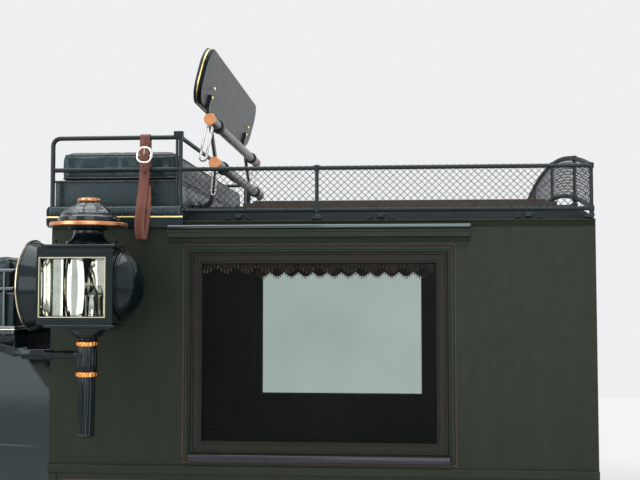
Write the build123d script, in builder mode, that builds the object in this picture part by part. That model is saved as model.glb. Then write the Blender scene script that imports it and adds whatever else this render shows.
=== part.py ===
from build123d import *
from math import asin, cos, degrees, pi, radians, sin, sqrt, tan
import os

os.makedirs("parts", exist_ok=True)

# The vehicle faces -X, its near side is -Y and it stands on Z = 0.
cabinX = 484.35  # middle of the cabin along the vehicle

# Small distances between pieces
seatGap = 0.2  # between pieces that are fixed to each other
pinGap = 0.3  # between faces that turn on each other
runningGap = 0.08  # round a pin or a spindle
doorGap = 5  # round the rear door

# Cabin
cabinLength = 1555
cabinFront = cabinX - cabinLength / 2
cabinRear = cabinX + cabinLength / 2
cabinWidth = 1300
sillWidth = cabinWidth - 120  # over the floor, below the turn-under
sillHeight = 780
floorThickness = 28
beltHeight = 1400
eavesHeight = 2100
wallThickness = 30
roofEdge = 20
roofShell = 22
roofCamber = 90
beltMoulding = 24
beltProud = 8

# Side windows
sashWidth = 736
sashHeight = 574
sashBottom = 1458
sashRail = 32.5
sashThickness = 22
sashRecess = 4
glassThickness = 5
glassGroove = 8
hoodLength = 856
hoodHeight = 26
hoodReach = 30

# Front window
frontSashWidth = 900
frontSashBottom = 1500
frontSashHeight = 480
frontStile = 44

# Rear door
doorWidth = 560
doorTop = 1990
doorWindowWidth = 400
doorWindowBottom = 1480
doorWindowHeight = 430
doorPanelHeight = 480
doorPanelBottom = 900
doorPanelDepth = 8
hingeRadius = 7
hingePin = 3
hingeOffset = 10
hingeKnuckle = 26
hingeHeights = (960, 1420, 1860)
hingeLeaf = 44
hingePlate = 4
handleHeight = beltHeight - 70

# Benches inside
benchDepth = 400
benchHeight = 400
benchNosing = 40
benchEndRoom = 40

# Wheels and axles
rearAxleX = cabinRear - 357.5
rearRadius = 510
rearTrack = 1460
rearSpokes = 14
frontAxleX = cabinFront - 552.5
frontRadius = 420
frontTrack = 1290
frontSpokes = 12
tyreWidth = 38
tyreDepth = 16
felloeDepth = 46
felloeWidth = 42
naveRadius = 74
naveLength = 186
naveBand = 14
spokeRootWidth = 42
spokeRootDepth = 30
spokeTipWidth = 30
spokeTipDepth = 24
spokeDish = 14
spindleRadius = 17
collarRadius = 34
collarWidth = 14
axleBeam = 38

# Springs
springLeaf = 7
springLeaves = 4
springWidth = 44
springHalf = 440
springEye = 13
springPad = 110
rearSpringY = 430
frontSpringY = 330

# Boot and driver's seat
bootHalfWidth = 440
bootBottom = 880
bootLength = 662.5
bootFront = cabinFront - bootLength
boxSeatBack = cabinFront - 152.5
boxSeatFront = cabinFront - 567.5
boxSeatHalf = 520
boxBoardBottom = 1745
boxBoardThickness = 40
boxSkirtTop = 1912
boxCushionTop = 2032
boxSkirtInset = 22
boxRailRise = 197  # top rail over the board
boxRailRadius = 6

# Footboard
footHalfWidth = 430
footRear = 1290
footFront = 1400
footReach = 400
footThickness = 24
dashHeight = 225
dashLean = 60
stayWidth = 26
stayThickness = 12
stayY = 300

# Turning carriage below the boot
ringOuter = 262
ringInner = 222
ringThickness = 12
ringTop = 825
perchRadius = 12
bedBottom = 689
bedTop = 750
bedWidth = 74
bedHalf = 400
futchellHeight = 50
futchellWidth = 44
futchellY = 150
futchellFront = 560
futchellRear = 330
splinterHalf = 600
splinterDepth = 56
splinterHeight = 44
traceRoller = 16
socketHalf = 62
socketPlate = 12
socketLength = 130
poleHalf = 36
polePin = 11

# Roof gallery
galleryHalf = cabinWidth / 2 - 12
galleryRear = cabinRear - 7.5
galleryTop = eavesHeight + 173
galleryBottom = eavesHeight + 52
galleryRod = 6
galleryFoot = 20
cornerPlate = 26
footPlate = 6
netPitch = 40
netWire = 1.6
netSlope = 43.5
rearPostY = 400
cornerRoom = 1.1

# Roof seat
roofBoardBack = cabinFront + 389.5
roofBoardFront = cabinFront - 12.5
roofBoardTop = eavesHeight + 65
roofBoardBottom = eavesHeight + 2
roofBoardEnd = 14
roofBoardCorner = 14
roofSkirtTop = eavesHeight + 146
roofSkirtHalf = cabinWidth / 2 - 45
roofSkirtFront = cabinFront - 7
roofSkirtBack = cabinFront + 357.5
roofCushionFront = cabinFront + 5
roofCushionBack = cabinFront + 362
roofCushionHalf = roofSkirtHalf - 5
roofCushionTop = roofSkirtTop + 92
roofRailFront = cabinFront - 4.5
roofRailPost = cabinFront + 376
roofRailTop = galleryTop + 94
roofRailRod = 6.5
roofRailStay = 4  # thin upright before the post
roofRailCorner = 22

# Back rest, its irons and the bars carried behind it
backBottom = eavesHeight + 403
backTop = backBottom + 179.5
backBottomX = cabinFront + 382.5
backTopX = cabinFront + 426.5
backThickness = 28
backHalf = 500
ironY = 360
ironWidth = 24
ironThickness = 9
ironRise = 40  # behind the back rest
ironToe = 44
barRadius = 16
barHalf = 500
upperBarX = cabinFront + 433.5
upperBarZ = backBottom - 58
lowerBarX = cabinFront + 449.5
lowerBarZ = backBottom - 192
barCapLength = 42
barCap = 1.5
keeperWall = 5

# Strap on the side rail
strapX = cabinFront + 272
strapWidth = 30
strapThickness = 4
strapBottom = eavesHeight - 34

# Luggage slats
slatCount = 5
slatWidth = 34
slatHeight = 16
slatFront = cabinFront + 527.5
slatEndRoom = 67.5
slatPitch = 210

# Carriage lamps
lampX = cabinFront + 175
lampY = 850
lampAxisZ = 1935
lampBoxX = -2  # middle of the side frame, from the lamp's upright axis
lampBoxWidth = 200
lampBoxHeight = 201
lampHalfDepth = 106
lampHalfHeight = 104
lampPaneX = -8
lampPaneWidth = 173
lampPaneHeight = 153
lampBezel = 122
lampBezelReach = 150
lampLens = 96
lampDome = 111
lampStemBottom = 1534
lampBarrel = 24.5
lampBarrelBottom = 1703
lampBarrelTop = 1778
lampIronZ = 1751
lampElbow = 182  # before the lamp's upright axis
lampElbowRod = 8

# Rear steps
stepWidth = 520
stepTreadDepth = 200
stepThickness = 20
upperStepZ = 530
lowerStepZ = 290
upperStepOut = 30
lowerStepOut = 130
stepIronWidth = 12
stepIronDepth = 30
stepIronY = 235

# Places that follow from the sizes above
cabinHalf = cabinWidth / 2
sillHalf = sillWidth / 2
floorTop = sillHeight + floorThickness
innerHalf = cabinHalf - wallThickness
innerSill = sillHalf - wallThickness
roofTop = eavesHeight + roofEdge + roofCamber
roofHalf = cabinHalf
roofRadius = (roofHalf**2 + roofCamber**2) / (2 * roofCamber)
innerCrown = roofTop - roofShell
sashMiddle = sashBottom + sashHeight / 2
galleryFront = roofBoardBack + seatGap


def roofZ(y):
    """Height of the roof's upper face at a distance y from the middle."""
    return roofTop - roofRadius + sqrt(roofRadius**2 - y**2)


# Floor with its two long bearers
with BuildPart() as cabinFloor:
    with BuildSketch(Plane.XY.offset(sillHeight)):
        with Locations((cabinX, 0)):
            Rectangle(cabinLength, sillWidth)
    extrude(amount=floorThickness)
cabinFloor.part.label = "cabin_floor"

# Near side: upright above the belt, drawn in below it, with the window cut
with BuildPart() as sideNear:
    with BuildSketch(Plane.YZ.offset(cabinFront)):
        with BuildLine():
            Line((-cabinHalf, eavesHeight), (-cabinHalf, beltHeight))
            TangentArc((-cabinHalf, beltHeight), (-sillHalf, floorTop), tangent=(0, -1))
            Line((-sillHalf, floorTop), (-innerSill, floorTop))
            TangentArc((-innerHalf, beltHeight), (-innerSill, floorTop), tangent=(0, -1))
            Line((-innerHalf, beltHeight), (-innerHalf, eavesHeight))
            Line((-innerHalf, eavesHeight), (-cabinHalf, eavesHeight))
        make_face()
    extrude(amount=cabinLength)
    with BuildSketch(Plane.XZ.offset(innerHalf)):
        with Locations((cabinX, sashMiddle)):
            Rectangle(sashWidth + 2 * seatGap, sashHeight + 2 * seatGap)
    extrude(amount=wallThickness, mode=Mode.SUBTRACT)
    with BuildSketch(Plane.YZ.offset(cabinFront)):
        with Locations((-cabinHalf - beltProud / 2, beltHeight + beltMoulding / 2)):
            RectangleRounded(beltProud, beltMoulding, beltProud / 3)
    extrude(amount=cabinLength)
    with BuildSketch(Plane.YZ.offset(cabinX - hoodLength / 2)):
        with BuildLine():
            Line((-cabinHalf, eavesHeight - 1), (-cabinHalf, eavesHeight - 1 - hoodHeight))
            Line(
                (-cabinHalf, eavesHeight - 1 - hoodHeight),
                (-cabinHalf - hoodReach, eavesHeight - 1 - hoodHeight),
            )
            Line(
                (-cabinHalf - hoodReach, eavesHeight - 1 - hoodHeight),
                (-cabinHalf - hoodReach, eavesHeight + 5 - hoodHeight),
            )
            ThreePointArc(
                (-cabinHalf - hoodReach, eavesHeight + 5 - hoodHeight),
                (-cabinHalf - hoodReach * 0.62, eavesHeight - 0.55 * hoodHeight),
                (-cabinHalf, eavesHeight - 1),
            )
        make_face()
    extrude(amount=hoodLength)
sideNear.part.label = "cabin_side_near"

with BuildPart() as sideOff:
    mirror(sideNear.part, about=Plane.XZ)
sideOff.part.label = "cabin_side_off"


def endWallOutline(gap):
    """Edges of a wall that stands between the two sides, below the roof."""
    lower = innerSill - gap
    upper = innerHalf - gap
    Line((-lower, floorTop), (lower, floorTop))
    TangentArc((upper, beltHeight), (lower, floorTop), tangent=(0, -1))
    Line((upper, beltHeight), (upper, eavesHeight))
    ThreePointArc((upper, eavesHeight), (0, innerCrown - gap), (-upper, eavesHeight))
    Line((-upper, eavesHeight), (-upper, beltHeight))
    TangentArc((-upper, beltHeight), (-lower, floorTop), tangent=(0, -1))


# Front wall with one wide window
with BuildPart() as frontWall:
    with BuildSketch(Plane.YZ.offset(cabinFront)):
        with BuildLine():
            endWallOutline(seatGap)
        make_face()
        with Locations((0, frontSashBottom + frontSashHeight / 2)):
            Rectangle(
                frontSashWidth + 2 * seatGap, frontSashHeight + 2 * seatGap, mode=Mode.SUBTRACT
            )
    extrude(amount=wallThickness)
frontWall.part.label = "cabin_front_wall"

# Rear wall round the door, with the fixed halves of the hinges
hingeX = cabinRear + hingeOffset
hingeY = doorWidth / 2 + doorGap / 2
with BuildPart() as rearWall:
    with BuildSketch(Plane.YZ.offset(cabinRear - wallThickness)):
        with BuildLine():
            endWallOutline(seatGap)
        make_face()
        with Locations((0, (floorTop + doorTop + doorGap) / 2)):
            Rectangle(doorWidth + 2 * doorGap, doorTop + doorGap - floorTop, mode=Mode.SUBTRACT)
    extrude(amount=wallThickness)
    for height in hingeHeights:
        knuckleGap = hingeKnuckle / 2 + pinGap
        for low in (height - knuckleGap - hingeKnuckle, height + knuckleGap):
            with BuildSketch(Plane.XY.offset(low)):
                with Locations((hingeX, hingeY)):
                    Circle(hingeRadius)
                with Locations((cabinRear + hingePlate / 2, hingeY + hingeLeaf / 2 + doorGap / 2)):
                    Rectangle(hingePlate, hingeLeaf)
                with BuildLine():
                    Polyline(
                        (cabinRear, hingeY + doorGap / 2),
                        (hingeX, hingeY + doorGap / 2),
                        (hingeX, hingeY + hingeRadius),
                        (cabinRear, hingeY + hingeRadius + 6),
                        close=True,
                    )
                make_face()
            extrude(amount=hingeKnuckle)
        with BuildSketch(Plane.XY.offset(height - knuckleGap)):
            with Locations((hingeX, hingeY)):
                Circle(hingePin)
        extrude(amount=2 * knuckleGap)
rearWall.part.label = "cabin_rear_wall"

# Roof: a cambered board with a square edge flush with the sides
with BuildPart() as roof:
    with BuildSketch(Plane.YZ.offset(cabinFront)):
        with BuildLine():
            Line((-roofHalf, eavesHeight), (-innerHalf, eavesHeight))
            ThreePointArc((-innerHalf, eavesHeight), (0, innerCrown), (innerHalf, eavesHeight))
            Line((innerHalf, eavesHeight), (roofHalf, eavesHeight))
            Line((roofHalf, eavesHeight), (roofHalf, eavesHeight + roofEdge))
            ThreePointArc(
                (roofHalf, eavesHeight + roofEdge), (0, roofTop), (-roofHalf, eavesHeight + roofEdge)
            )
            Line((-roofHalf, eavesHeight + roofEdge), (-roofHalf, eavesHeight))
        make_face()
    extrude(amount=cabinLength)
roof.part.label = "cabin_roof"

# Sashes and panes of the side windows
sashY = cabinHalf - sashRecess - sashThickness
paneY = sashY + sashThickness / 2 - glassThickness / 2
with BuildPart() as sashNear:
    with BuildSketch(Plane.XZ.offset(sashY)):
        with Locations((cabinX, sashMiddle)):
            Rectangle(sashWidth, sashHeight)
            Rectangle(sashWidth - 2 * sashRail, sashHeight - 2 * sashRail, mode=Mode.SUBTRACT)
    extrude(amount=sashThickness)
    chamfer(
        sashNear.faces().sort_by(Axis.Y)[0].inner_wires()[0].edges(),
        length=5,
    )
    with BuildSketch(Plane.XZ.offset(paneY - seatGap)):
        with Locations((cabinX, sashMiddle)):
            Rectangle(
                sashWidth - 2 * sashRail + 2 * glassGroove,
                sashHeight - 2 * sashRail + 2 * glassGroove,
            )
    extrude(amount=glassThickness + 2 * seatGap, mode=Mode.SUBTRACT)
sashNear.part.label = "window_sash_near"

with BuildPart() as sashOff:
    mirror(sashNear.part, about=Plane.XZ)
sashOff.part.label = "window_sash_off"

with BuildPart() as glassNear:
    with BuildSketch(Plane.XZ.offset(paneY)):
        with Locations((cabinX, sashMiddle)):
            Rectangle(
                sashWidth - 2 * sashRail + 2 * glassGroove - 2 * seatGap,
                sashHeight - 2 * sashRail + 2 * glassGroove - 2 * seatGap,
            )
    extrude(amount=glassThickness)
glassNear.part.label = "window_glass_near"

with BuildPart() as glassOff:
    mirror(glassNear.part, about=Plane.XZ)
glassOff.part.label = "window_glass_off"

# Front window: one sash with a stile between two panes
frontSashX = cabinFront + sashRecess
frontLightWidth = (frontSashWidth - 2 * sashRail - frontStile) / 2
frontLightHeight = frontSashHeight - 2 * sashRail
frontLightY = (frontLightWidth + frontStile) / 2
frontMiddle = frontSashBottom + frontSashHeight / 2
frontPaneX = frontSashX + sashThickness / 2 - glassThickness / 2
with BuildPart() as frontSash:
    with BuildSketch(Plane.YZ.offset(frontSashX)):
        with Locations((0, frontMiddle)):
            Rectangle(frontSashWidth, frontSashHeight)
        with Locations((-frontLightY, frontMiddle), (frontLightY, frontMiddle)):
            Rectangle(frontLightWidth, frontLightHeight, mode=Mode.SUBTRACT)
    extrude(amount=sashThickness)
    with BuildSketch(Plane.YZ.offset(frontPaneX - seatGap)):
        with Locations((-frontLightY, frontMiddle), (frontLightY, frontMiddle)):
            Rectangle(frontLightWidth + 2 * glassGroove, frontLightHeight + 2 * glassGroove)
    extrude(amount=glassThickness + 2 * seatGap, mode=Mode.SUBTRACT)
frontSash.part.label = "front_window_sash"

with BuildPart() as frontGlass:
    with BuildSketch(Plane.YZ.offset(frontPaneX)):
        with Locations((-frontLightY, frontMiddle), (frontLightY, frontMiddle)):
            Rectangle(
                frontLightWidth + 2 * glassGroove - 2 * seatGap,
                frontLightHeight + 2 * glassGroove - 2 * seatGap,
            )
    extrude(amount=glassThickness)
frontGlass.part.label = "front_window_glass"

# Rear door with its window, sunk panel, knob and moving hinge halves
doorBottom = floorTop + doorGap
doorMiddle = doorWindowBottom + doorWindowHeight / 2
doorPaneX = cabinRear - wallThickness / 2 - glassThickness / 2
with BuildPart() as door:
    with BuildSketch(Plane.YZ.offset(cabinRear - wallThickness)):
        with Locations((0, (doorBottom + doorTop) / 2)):
            Rectangle(doorWidth, doorTop - doorBottom)
        with Locations((0, doorMiddle)):
            Rectangle(doorWindowWidth, doorWindowHeight, mode=Mode.SUBTRACT)
    extrude(amount=wallThickness)
    with BuildSketch(Plane.YZ.offset(cabinRear - doorPanelDepth)):
        with Locations((0, doorPanelBottom + doorPanelHeight / 2)):
            Rectangle(doorWindowWidth, doorPanelHeight)
    extrude(amount=doorPanelDepth, mode=Mode.SUBTRACT)
    with BuildSketch(Plane.YZ.offset(doorPaneX - seatGap)):
        with Locations((0, doorMiddle)):
            Rectangle(doorWindowWidth + 2 * glassGroove, doorWindowHeight + 2 * glassGroove)
    extrude(amount=glassThickness + 2 * seatGap, mode=Mode.SUBTRACT)
    for height in hingeHeights:
        with BuildSketch(Plane.XY.offset(height - hingeKnuckle / 2)):
            with Locations((hingeX, hingeY)):
                Circle(hingeRadius)
            with Locations((cabinRear + hingePlate / 2, hingeY - hingeLeaf / 2 - doorGap / 2)):
                Rectangle(hingePlate, hingeLeaf)
            with BuildLine():
                Polyline(
                    (cabinRear, hingeY - doorGap / 2),
                    (hingeX, hingeY - doorGap / 2),
                    (hingeX, hingeY - hingeRadius),
                    (cabinRear, hingeY - hingeRadius - 6),
                    close=True,
                )
            make_face()
            with Locations((hingeX, hingeY)):
                Circle(hingePin + runningGap, mode=Mode.SUBTRACT)
        extrude(amount=hingeKnuckle)
    with BuildSketch(Plane.XY.offset(handleHeight)):
        with BuildLine():
            Polyline(
                (cabinRear, -doorWidth / 2 + 30),
                (cabinRear + 34, -doorWidth / 2 + 30),
                (cabinRear + 34, -doorWidth / 2 + 130),
                (cabinRear + 24, -doorWidth / 2 + 130),
                (cabinRear + 24, -doorWidth / 2 + 46),
                (cabinRear, -doorWidth / 2 + 46),
                close=True,
            )
        make_face()
    extrude(amount=14)
door.part.label = "rear_door"

with BuildPart() as doorGlass:
    with BuildSketch(Plane.YZ.offset(doorPaneX)):
        with Locations((0, doorMiddle)):
            Rectangle(
                doorWindowWidth + 2 * glassGroove - 2 * seatGap,
                doorWindowHeight + 2 * glassGroove - 2 * seatGap,
            )
    extrude(amount=glassThickness)
doorGlass.part.label = "rear_door_glass"

# Benches along the two sides
with BuildPart() as benchNear:
    with BuildSketch(Plane.YZ.offset(cabinFront + wallThickness + benchEndRoom)):
        with BuildLine():
            front = -innerSill + benchDepth
            top = floorTop + benchHeight
            Polyline(
                (-innerSill + 2, floorTop),
                (front - benchNosing, floorTop),
                (front - benchNosing, top - 90),
                (front, top - 90),
                (front, top - 30),
                (front - 30, top),
                (-innerSill - 2, top),
                (-innerSill - 8, top + 30),
                (-innerSill + 2, floorTop + 40),
                close=True,
            )
        make_face()
    extrude(amount=cabinLength - 2 * wallThickness - 2 * benchEndRoom)
benchNear.part.label = "bench_near"

with BuildPart() as benchOff:
    mirror(benchNear.part, about=Plane.XZ)
benchOff.part.label = "bench_off"

# Luggage slats on the roof
with BuildPart() as slats:
    for index in range(slatCount):
        y = (index - (slatCount - 1) / 2) * slatPitch
        low = max(roofZ(y - slatWidth / 2), roofZ(y + slatWidth / 2)) + seatGap
        with BuildSketch(Plane.YZ.offset(slatFront)):
            with Locations((y, low + slatHeight / 2)):
                Rectangle(slatWidth, slatHeight)
        extrude(amount=cabinRear - slatEndRoom - slatFront)
    chamfer(slats.edges().filter_by(Axis.X).group_by(Axis.Z)[-1], length=3)
slats.part.label = "roof_slats"


# Gallery along the near side: two rails, posts with feet, and the wire net
galleryLength = galleryRear - galleryFront
netLow = galleryBottom + galleryRod + seatGap
netHigh = galleryTop - galleryRod - seatGap
netSpan = (netHigh - netLow) / tan(radians(netSlope))
netCount = int((galleryLength + netSpan) / netPitch)
with BuildPart() as galleryNear:
    with BuildSketch(Plane.YZ.offset(galleryFront)):
        with Locations((-galleryHalf, galleryTop), (-galleryHalf, galleryBottom)):
            Circle(galleryRod)
    extrude(amount=galleryLength)
    foot = roofZ(galleryHalf - galleryFoot / 2) + seatGap
    for x, back, length in ((cabinX - 4, 0, galleryFoot * 1.6), (galleryRear, 8, cornerPlate)):
        with BuildSketch(Plane.XY.offset(foot)):
            with Locations((x, -galleryHalf)):
                Circle(galleryRod * 0.9)
        extrude(amount=galleryTop - foot)
        with BuildSketch(Plane.XY.offset(foot)):
            with Locations((x - back, -galleryHalf)):
                Rectangle(length, galleryFoot)
        extrude(amount=footPlate)
    for lean, shift in ((1, 0), (-1, netWire + 0.1)):
        with BuildSketch(Plane.XZ.offset(galleryHalf - netWire + shift)) as layer:
            for index in range(netCount):
                x = galleryFront + (index + 0.5) * netPitch - netSpan / 2
                with Locations(Location((x, (netLow + netHigh) / 2), lean * netSlope)):
                    Rectangle(3 * netSpan, netWire)
            with Locations((galleryFront + galleryLength / 2, (netLow + netHigh) / 2)):
                Rectangle(galleryLength, netHigh - netLow, mode=Mode.INTERSECT)
        extrude(amount=netWire)
galleryNear.part.label = "gallery_near"

with BuildPart() as galleryOff:
    mirror(galleryNear.part, about=Plane.XZ)
galleryOff.part.label = "gallery_off"

# Gallery across the back: its rails follow the camber of the roof
railRise = roofZ(0) - roofZ(galleryHalf)
rearEnd = galleryHalf - galleryRod - cornerRoom
rearLow = galleryBottom + galleryRod + seatGap
rearHigh = galleryTop - galleryRod - seatGap
rearCount = int((2 * rearEnd + netSpan) / netPitch)
with BuildPart() as galleryAcross:
    for height in (galleryTop, galleryBottom):
        with BuildLine() as rail:
            ThreePointArc(
                (galleryRear, -rearEnd, height),
                (galleryRear, 0, height + railRise),
                (galleryRear, rearEnd, height),
            )
        with BuildSketch(Plane(origin=rail.line @ 0, z_dir=rail.line % 0)):
            Circle(galleryRod)
        sweep(path=rail.line)
    for y in (-rearPostY, 0, rearPostY):
        foot = max(roofZ(abs(y) - galleryFoot * 0.8 if y else 0), roofZ(y)) + seatGap
        with BuildSketch(Plane.XY.offset(foot)):
            with Locations((galleryRear, y)):
                Circle(galleryRod * 0.9)
        extrude(amount=galleryTop + railRise * (1 - (y / galleryHalf) ** 2) - foot)
        with BuildSketch(Plane.XY.offset(foot)):
            with Locations((galleryRear - 4, y)):
                Rectangle(galleryFoot, galleryFoot * 1.6)
        extrude(amount=footPlate)
    for lean, shift in ((1, 0), (-1, netWire + 0.1)):
        with BuildSketch(Plane.YZ.offset(galleryRear - netWire + shift)):
            for index in range(rearCount):
                y = -rearEnd + (index + 0.5) * netPitch - netSpan / 2
                rise = railRise * (1 - (y / galleryHalf) ** 2)
                with Locations(Location((y, (rearLow + rearHigh) / 2 + rise), lean * netSlope)):
                    Rectangle(3 * netSpan, netWire)
            with BuildLine():
                Line((-rearEnd, rearLow), (-rearEnd, rearHigh))
                ThreePointArc((-rearEnd, rearHigh), (0, rearHigh + railRise), (rearEnd, rearHigh))
                Line((rearEnd, rearHigh), (rearEnd, rearLow))
                ThreePointArc((rearEnd, rearLow), (0, rearLow + railRise), (-rearEnd, rearLow))
            make_face(mode=Mode.INTERSECT)
        extrude(amount=netWire)
galleryAcross.part.label = "gallery_rear"

# Roof seat: a board and a skirt that are shaped to the camber underneath
with BuildPart() as roofSeat:
    slabHalf = roofHalf + seatGap
    with BuildSketch(Plane.YZ.offset(roofBoardFront)):
        with Locations((0, (eavesHeight + roofBoardTop) / 2)):
            Rectangle(2 * slabHalf, roofBoardTop - eavesHeight)
        with BuildLine():
            low = eavesHeight + roofEdge + seatGap
            bed = ThreePointArc((-slabHalf - 1, low), (0, roofTop + seatGap), (slabHalf + 1, low))
            Polyline(bed @ 1, (slabHalf + 1, sillHeight), (-slabHalf - 1, sillHeight), bed @ 0)
        make_face(mode=Mode.SUBTRACT)
    extrude(amount=roofBoardBack - roofBoardFront)
    with BuildSketch(Plane.YZ.offset(roofSkirtFront)):
        with BuildLine():
            low = roofZ(roofSkirtHalf) + seatGap
            Line((-roofSkirtHalf, low), (-roofSkirtHalf, roofSkirtTop))
            Line((-roofSkirtHalf, roofSkirtTop), (roofSkirtHalf, roofSkirtTop))
            Line((roofSkirtHalf, roofSkirtTop), (roofSkirtHalf, low))
            ThreePointArc((roofSkirtHalf, low), (0, roofTop + seatGap), (-roofSkirtHalf, low))
        make_face()
    extrude(amount=roofSkirtBack - roofSkirtFront)
    for side in (-1, 1):
        start = slabHalf if side < 0 else -slabHalf - roofBoardEnd
        with BuildSketch(Plane.XZ.offset(start)):
            with Locations(
                ((roofBoardFront + roofBoardBack) / 2, (roofBoardTop + roofBoardBottom) / 2)
            ):
                RectangleRounded(
                    roofBoardBack - roofBoardFront, roofBoardTop - roofBoardBottom, roofBoardCorner
                )
        extrude(amount=roofBoardEnd)
roofSeat.part.label = "roof_seat_base"

with BuildPart() as roofCushion:
    with BuildSketch(Plane.XY.offset(roofSkirtTop + seatGap)):
        with Locations(((roofCushionFront + roofCushionBack) / 2, 0)):
            RectangleRounded(roofCushionBack - roofCushionFront, 2 * roofCushionHalf, 24)
    extrude(amount=roofCushionTop - roofSkirtTop - seatGap)
    fillet(roofCushion.edges().group_by(Axis.Z)[-1], radius=22)
roofCushion.part.label = "roof_seat_cushion"

# Rails of the roof seat: a bent loop at each end and a rail along the back
with BuildPart() as roofRails:
    for side in (-1, 1):
        railY = side * galleryHalf
        with BuildLine() as loop:
            FilletPolyline(
                (roofRailFront, railY, roofBoardTop + seatGap),
                (roofRailFront, railY, roofRailTop),
                (roofRailPost, railY, roofRailTop),
                radius=roofRailCorner,
            )
        with BuildSketch(Plane(origin=loop.line @ 0, z_dir=loop.line % 0)):
            Circle(roofRailRod)
        sweep(path=loop.line)
        with BuildSketch(Plane.YZ.offset(roofRailFront)):
            with Locations((railY, galleryTop)):
                Circle(roofRailRod)
        extrude(amount=galleryFront - seatGap - roofRailFront)
        with BuildSketch(Plane.XY.offset(roofBoardTop + seatGap)):
            with Locations((roofRailPost, railY)):
                Circle(galleryRod)
            with Locations((roofRailPost - galleryRod - roofRailStay - 1, railY)):
                Circle(roofRailStay)
        extrude(amount=roofRailTop + 12 - roofBoardTop - seatGap)
        with BuildSketch(Plane.XY.offset(roofRailTop + 1)):
            with Locations((roofRailPost - galleryRod, railY)):
                Rectangle(27, 16)
        extrude(amount=16)
    with BuildSketch(Plane.XZ.offset(-galleryHalf)):
        with Locations((roofRailPost, roofRailTop)):
            Circle(roofRailRod)
    extrude(amount=2 * galleryHalf)
roofRails.part.label = "roof_seat_rails"

# Back rest: a long panel with rounded ends that leans back
backLean = degrees(asin((backTopX - backBottomX) / (backTop - backBottom)))
backPlane = Plane(
    origin=((backBottomX + backTopX) / 2, 0, (backBottom + backTop) / 2),
    x_dir=(0, 1, 0),
    z_dir=(cos(radians(backLean)), 0, -sin(radians(backLean))),
)
with BuildPart() as backRest:
    with BuildSketch(backPlane.offset(-backThickness / 2)):
        RectangleRounded(2 * backHalf, backTop - backBottom, 70)
    extrude(amount=backThickness)
    fillet(backRest.faces().sort_by(Axis.X)[0].edges(), radius=8)
backRest.part.label = "back_rest"

# Irons behind the back rest, with keepers round the two carried bars
leanSlope = tan(radians(backLean))
behindRest = (backThickness + ironThickness + 2 * seatGap) / 2 / cos(radians(backLean))
restX = (backBottomX + backTopX - (backTop - backBottom) * leanSlope) / 2 + behindRest
with BuildPart() as backIrons:
    for side in (-1, 1):
        with BuildSketch(Plane.XZ.offset(side * ironY - ironWidth / 2)):
            with BuildLine():
                foot = roofZ(ironY - ironWidth / 2) + seatGap
                reach = barRadius + keeperWall
                FilletPolyline(
                    (roofBoardBack + 20 - ironToe, foot + ironThickness / 2),
                    (roofBoardBack + 20, foot + ironThickness / 2),
                    (lowerBarX - reach - 4, lowerBarZ - 60),
                    (lowerBarX - reach, lowerBarZ + 12),
                    (upperBarX - reach, upperBarZ - 16),
                    (restX, backBottom),
                    (restX + leanSlope * ironRise, backBottom + ironRise),
                    radius=34,
                )
                offset(amount=ironThickness / 2, side=Side.BOTH)
            make_face()
        extrude(amount=ironWidth)
        for x, z in ((upperBarX, upperBarZ), (lowerBarX, lowerBarZ)):
            with BuildSketch(Plane.XZ.offset(side * ironY - ironWidth / 2)):
                with Locations((x, z)):
                    Circle(barRadius + seatGap + keeperWall)
                with Locations((x - barRadius, z)):
                    Rectangle(barRadius * 0.8, 12)
            extrude(amount=ironWidth)
            with BuildSketch(Plane.XZ.offset(side * ironY - ironWidth / 2)):
                with Locations((x, z)):
                    Circle(barRadius + seatGap)
            extrude(amount=ironWidth, mode=Mode.SUBTRACT)
backIrons.part.label = "back_rest_irons"

# The two bars that are carried behind the back rest, with metal caps
with BuildPart() as spareBars:
    for x, z in ((upperBarX, upperBarZ), (lowerBarX, lowerBarZ)):
        with BuildSketch(Plane.XZ.offset(-barHalf)):
            with Locations((x, z)):
                Circle(barRadius)
        extrude(amount=2 * barHalf)
        for start in (-barHalf, barHalf - barCapLength):
            with BuildSketch(Plane.XZ.offset(start)):
                with Locations((x, z)):
                    Circle(barRadius + barCap)
            extrude(amount=barCapLength)
spareBars.part.label = "spare_bars"

# Strap looped over the near side rail and hanging outside the seat board
strapSide = galleryHalf + roofRailRod + seatGap + strapThickness / 2
strapInner = galleryHalf - roofRailRod - seatGap - strapThickness / 2
strapOuter = roofHalf + seatGap + roofBoardEnd + seatGap + strapThickness / 2
with BuildPart() as strap:
    with BuildSketch(Plane.YZ.offset(strapX - strapWidth / 2)):
        with BuildLine():
            low = Line((-strapOuter, strapBottom), (-strapOuter, roofBoardTop + 6))
            slant = Line(low @ 1, (-strapSide, galleryTop - 34))
            rise = Line(slant @ 1, (-strapSide, roofRailTop))
            turn = TangentArc(rise @ 1, (-strapInner, roofRailTop), tangent=rise % 1)
            Line(turn @ 1, (-strapInner, galleryTop - 20))
            offset(amount=strapThickness / 2, side=Side.BOTH)
        make_face()
    extrude(amount=strapWidth)
strap.part.label = "seat_strap"

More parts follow.
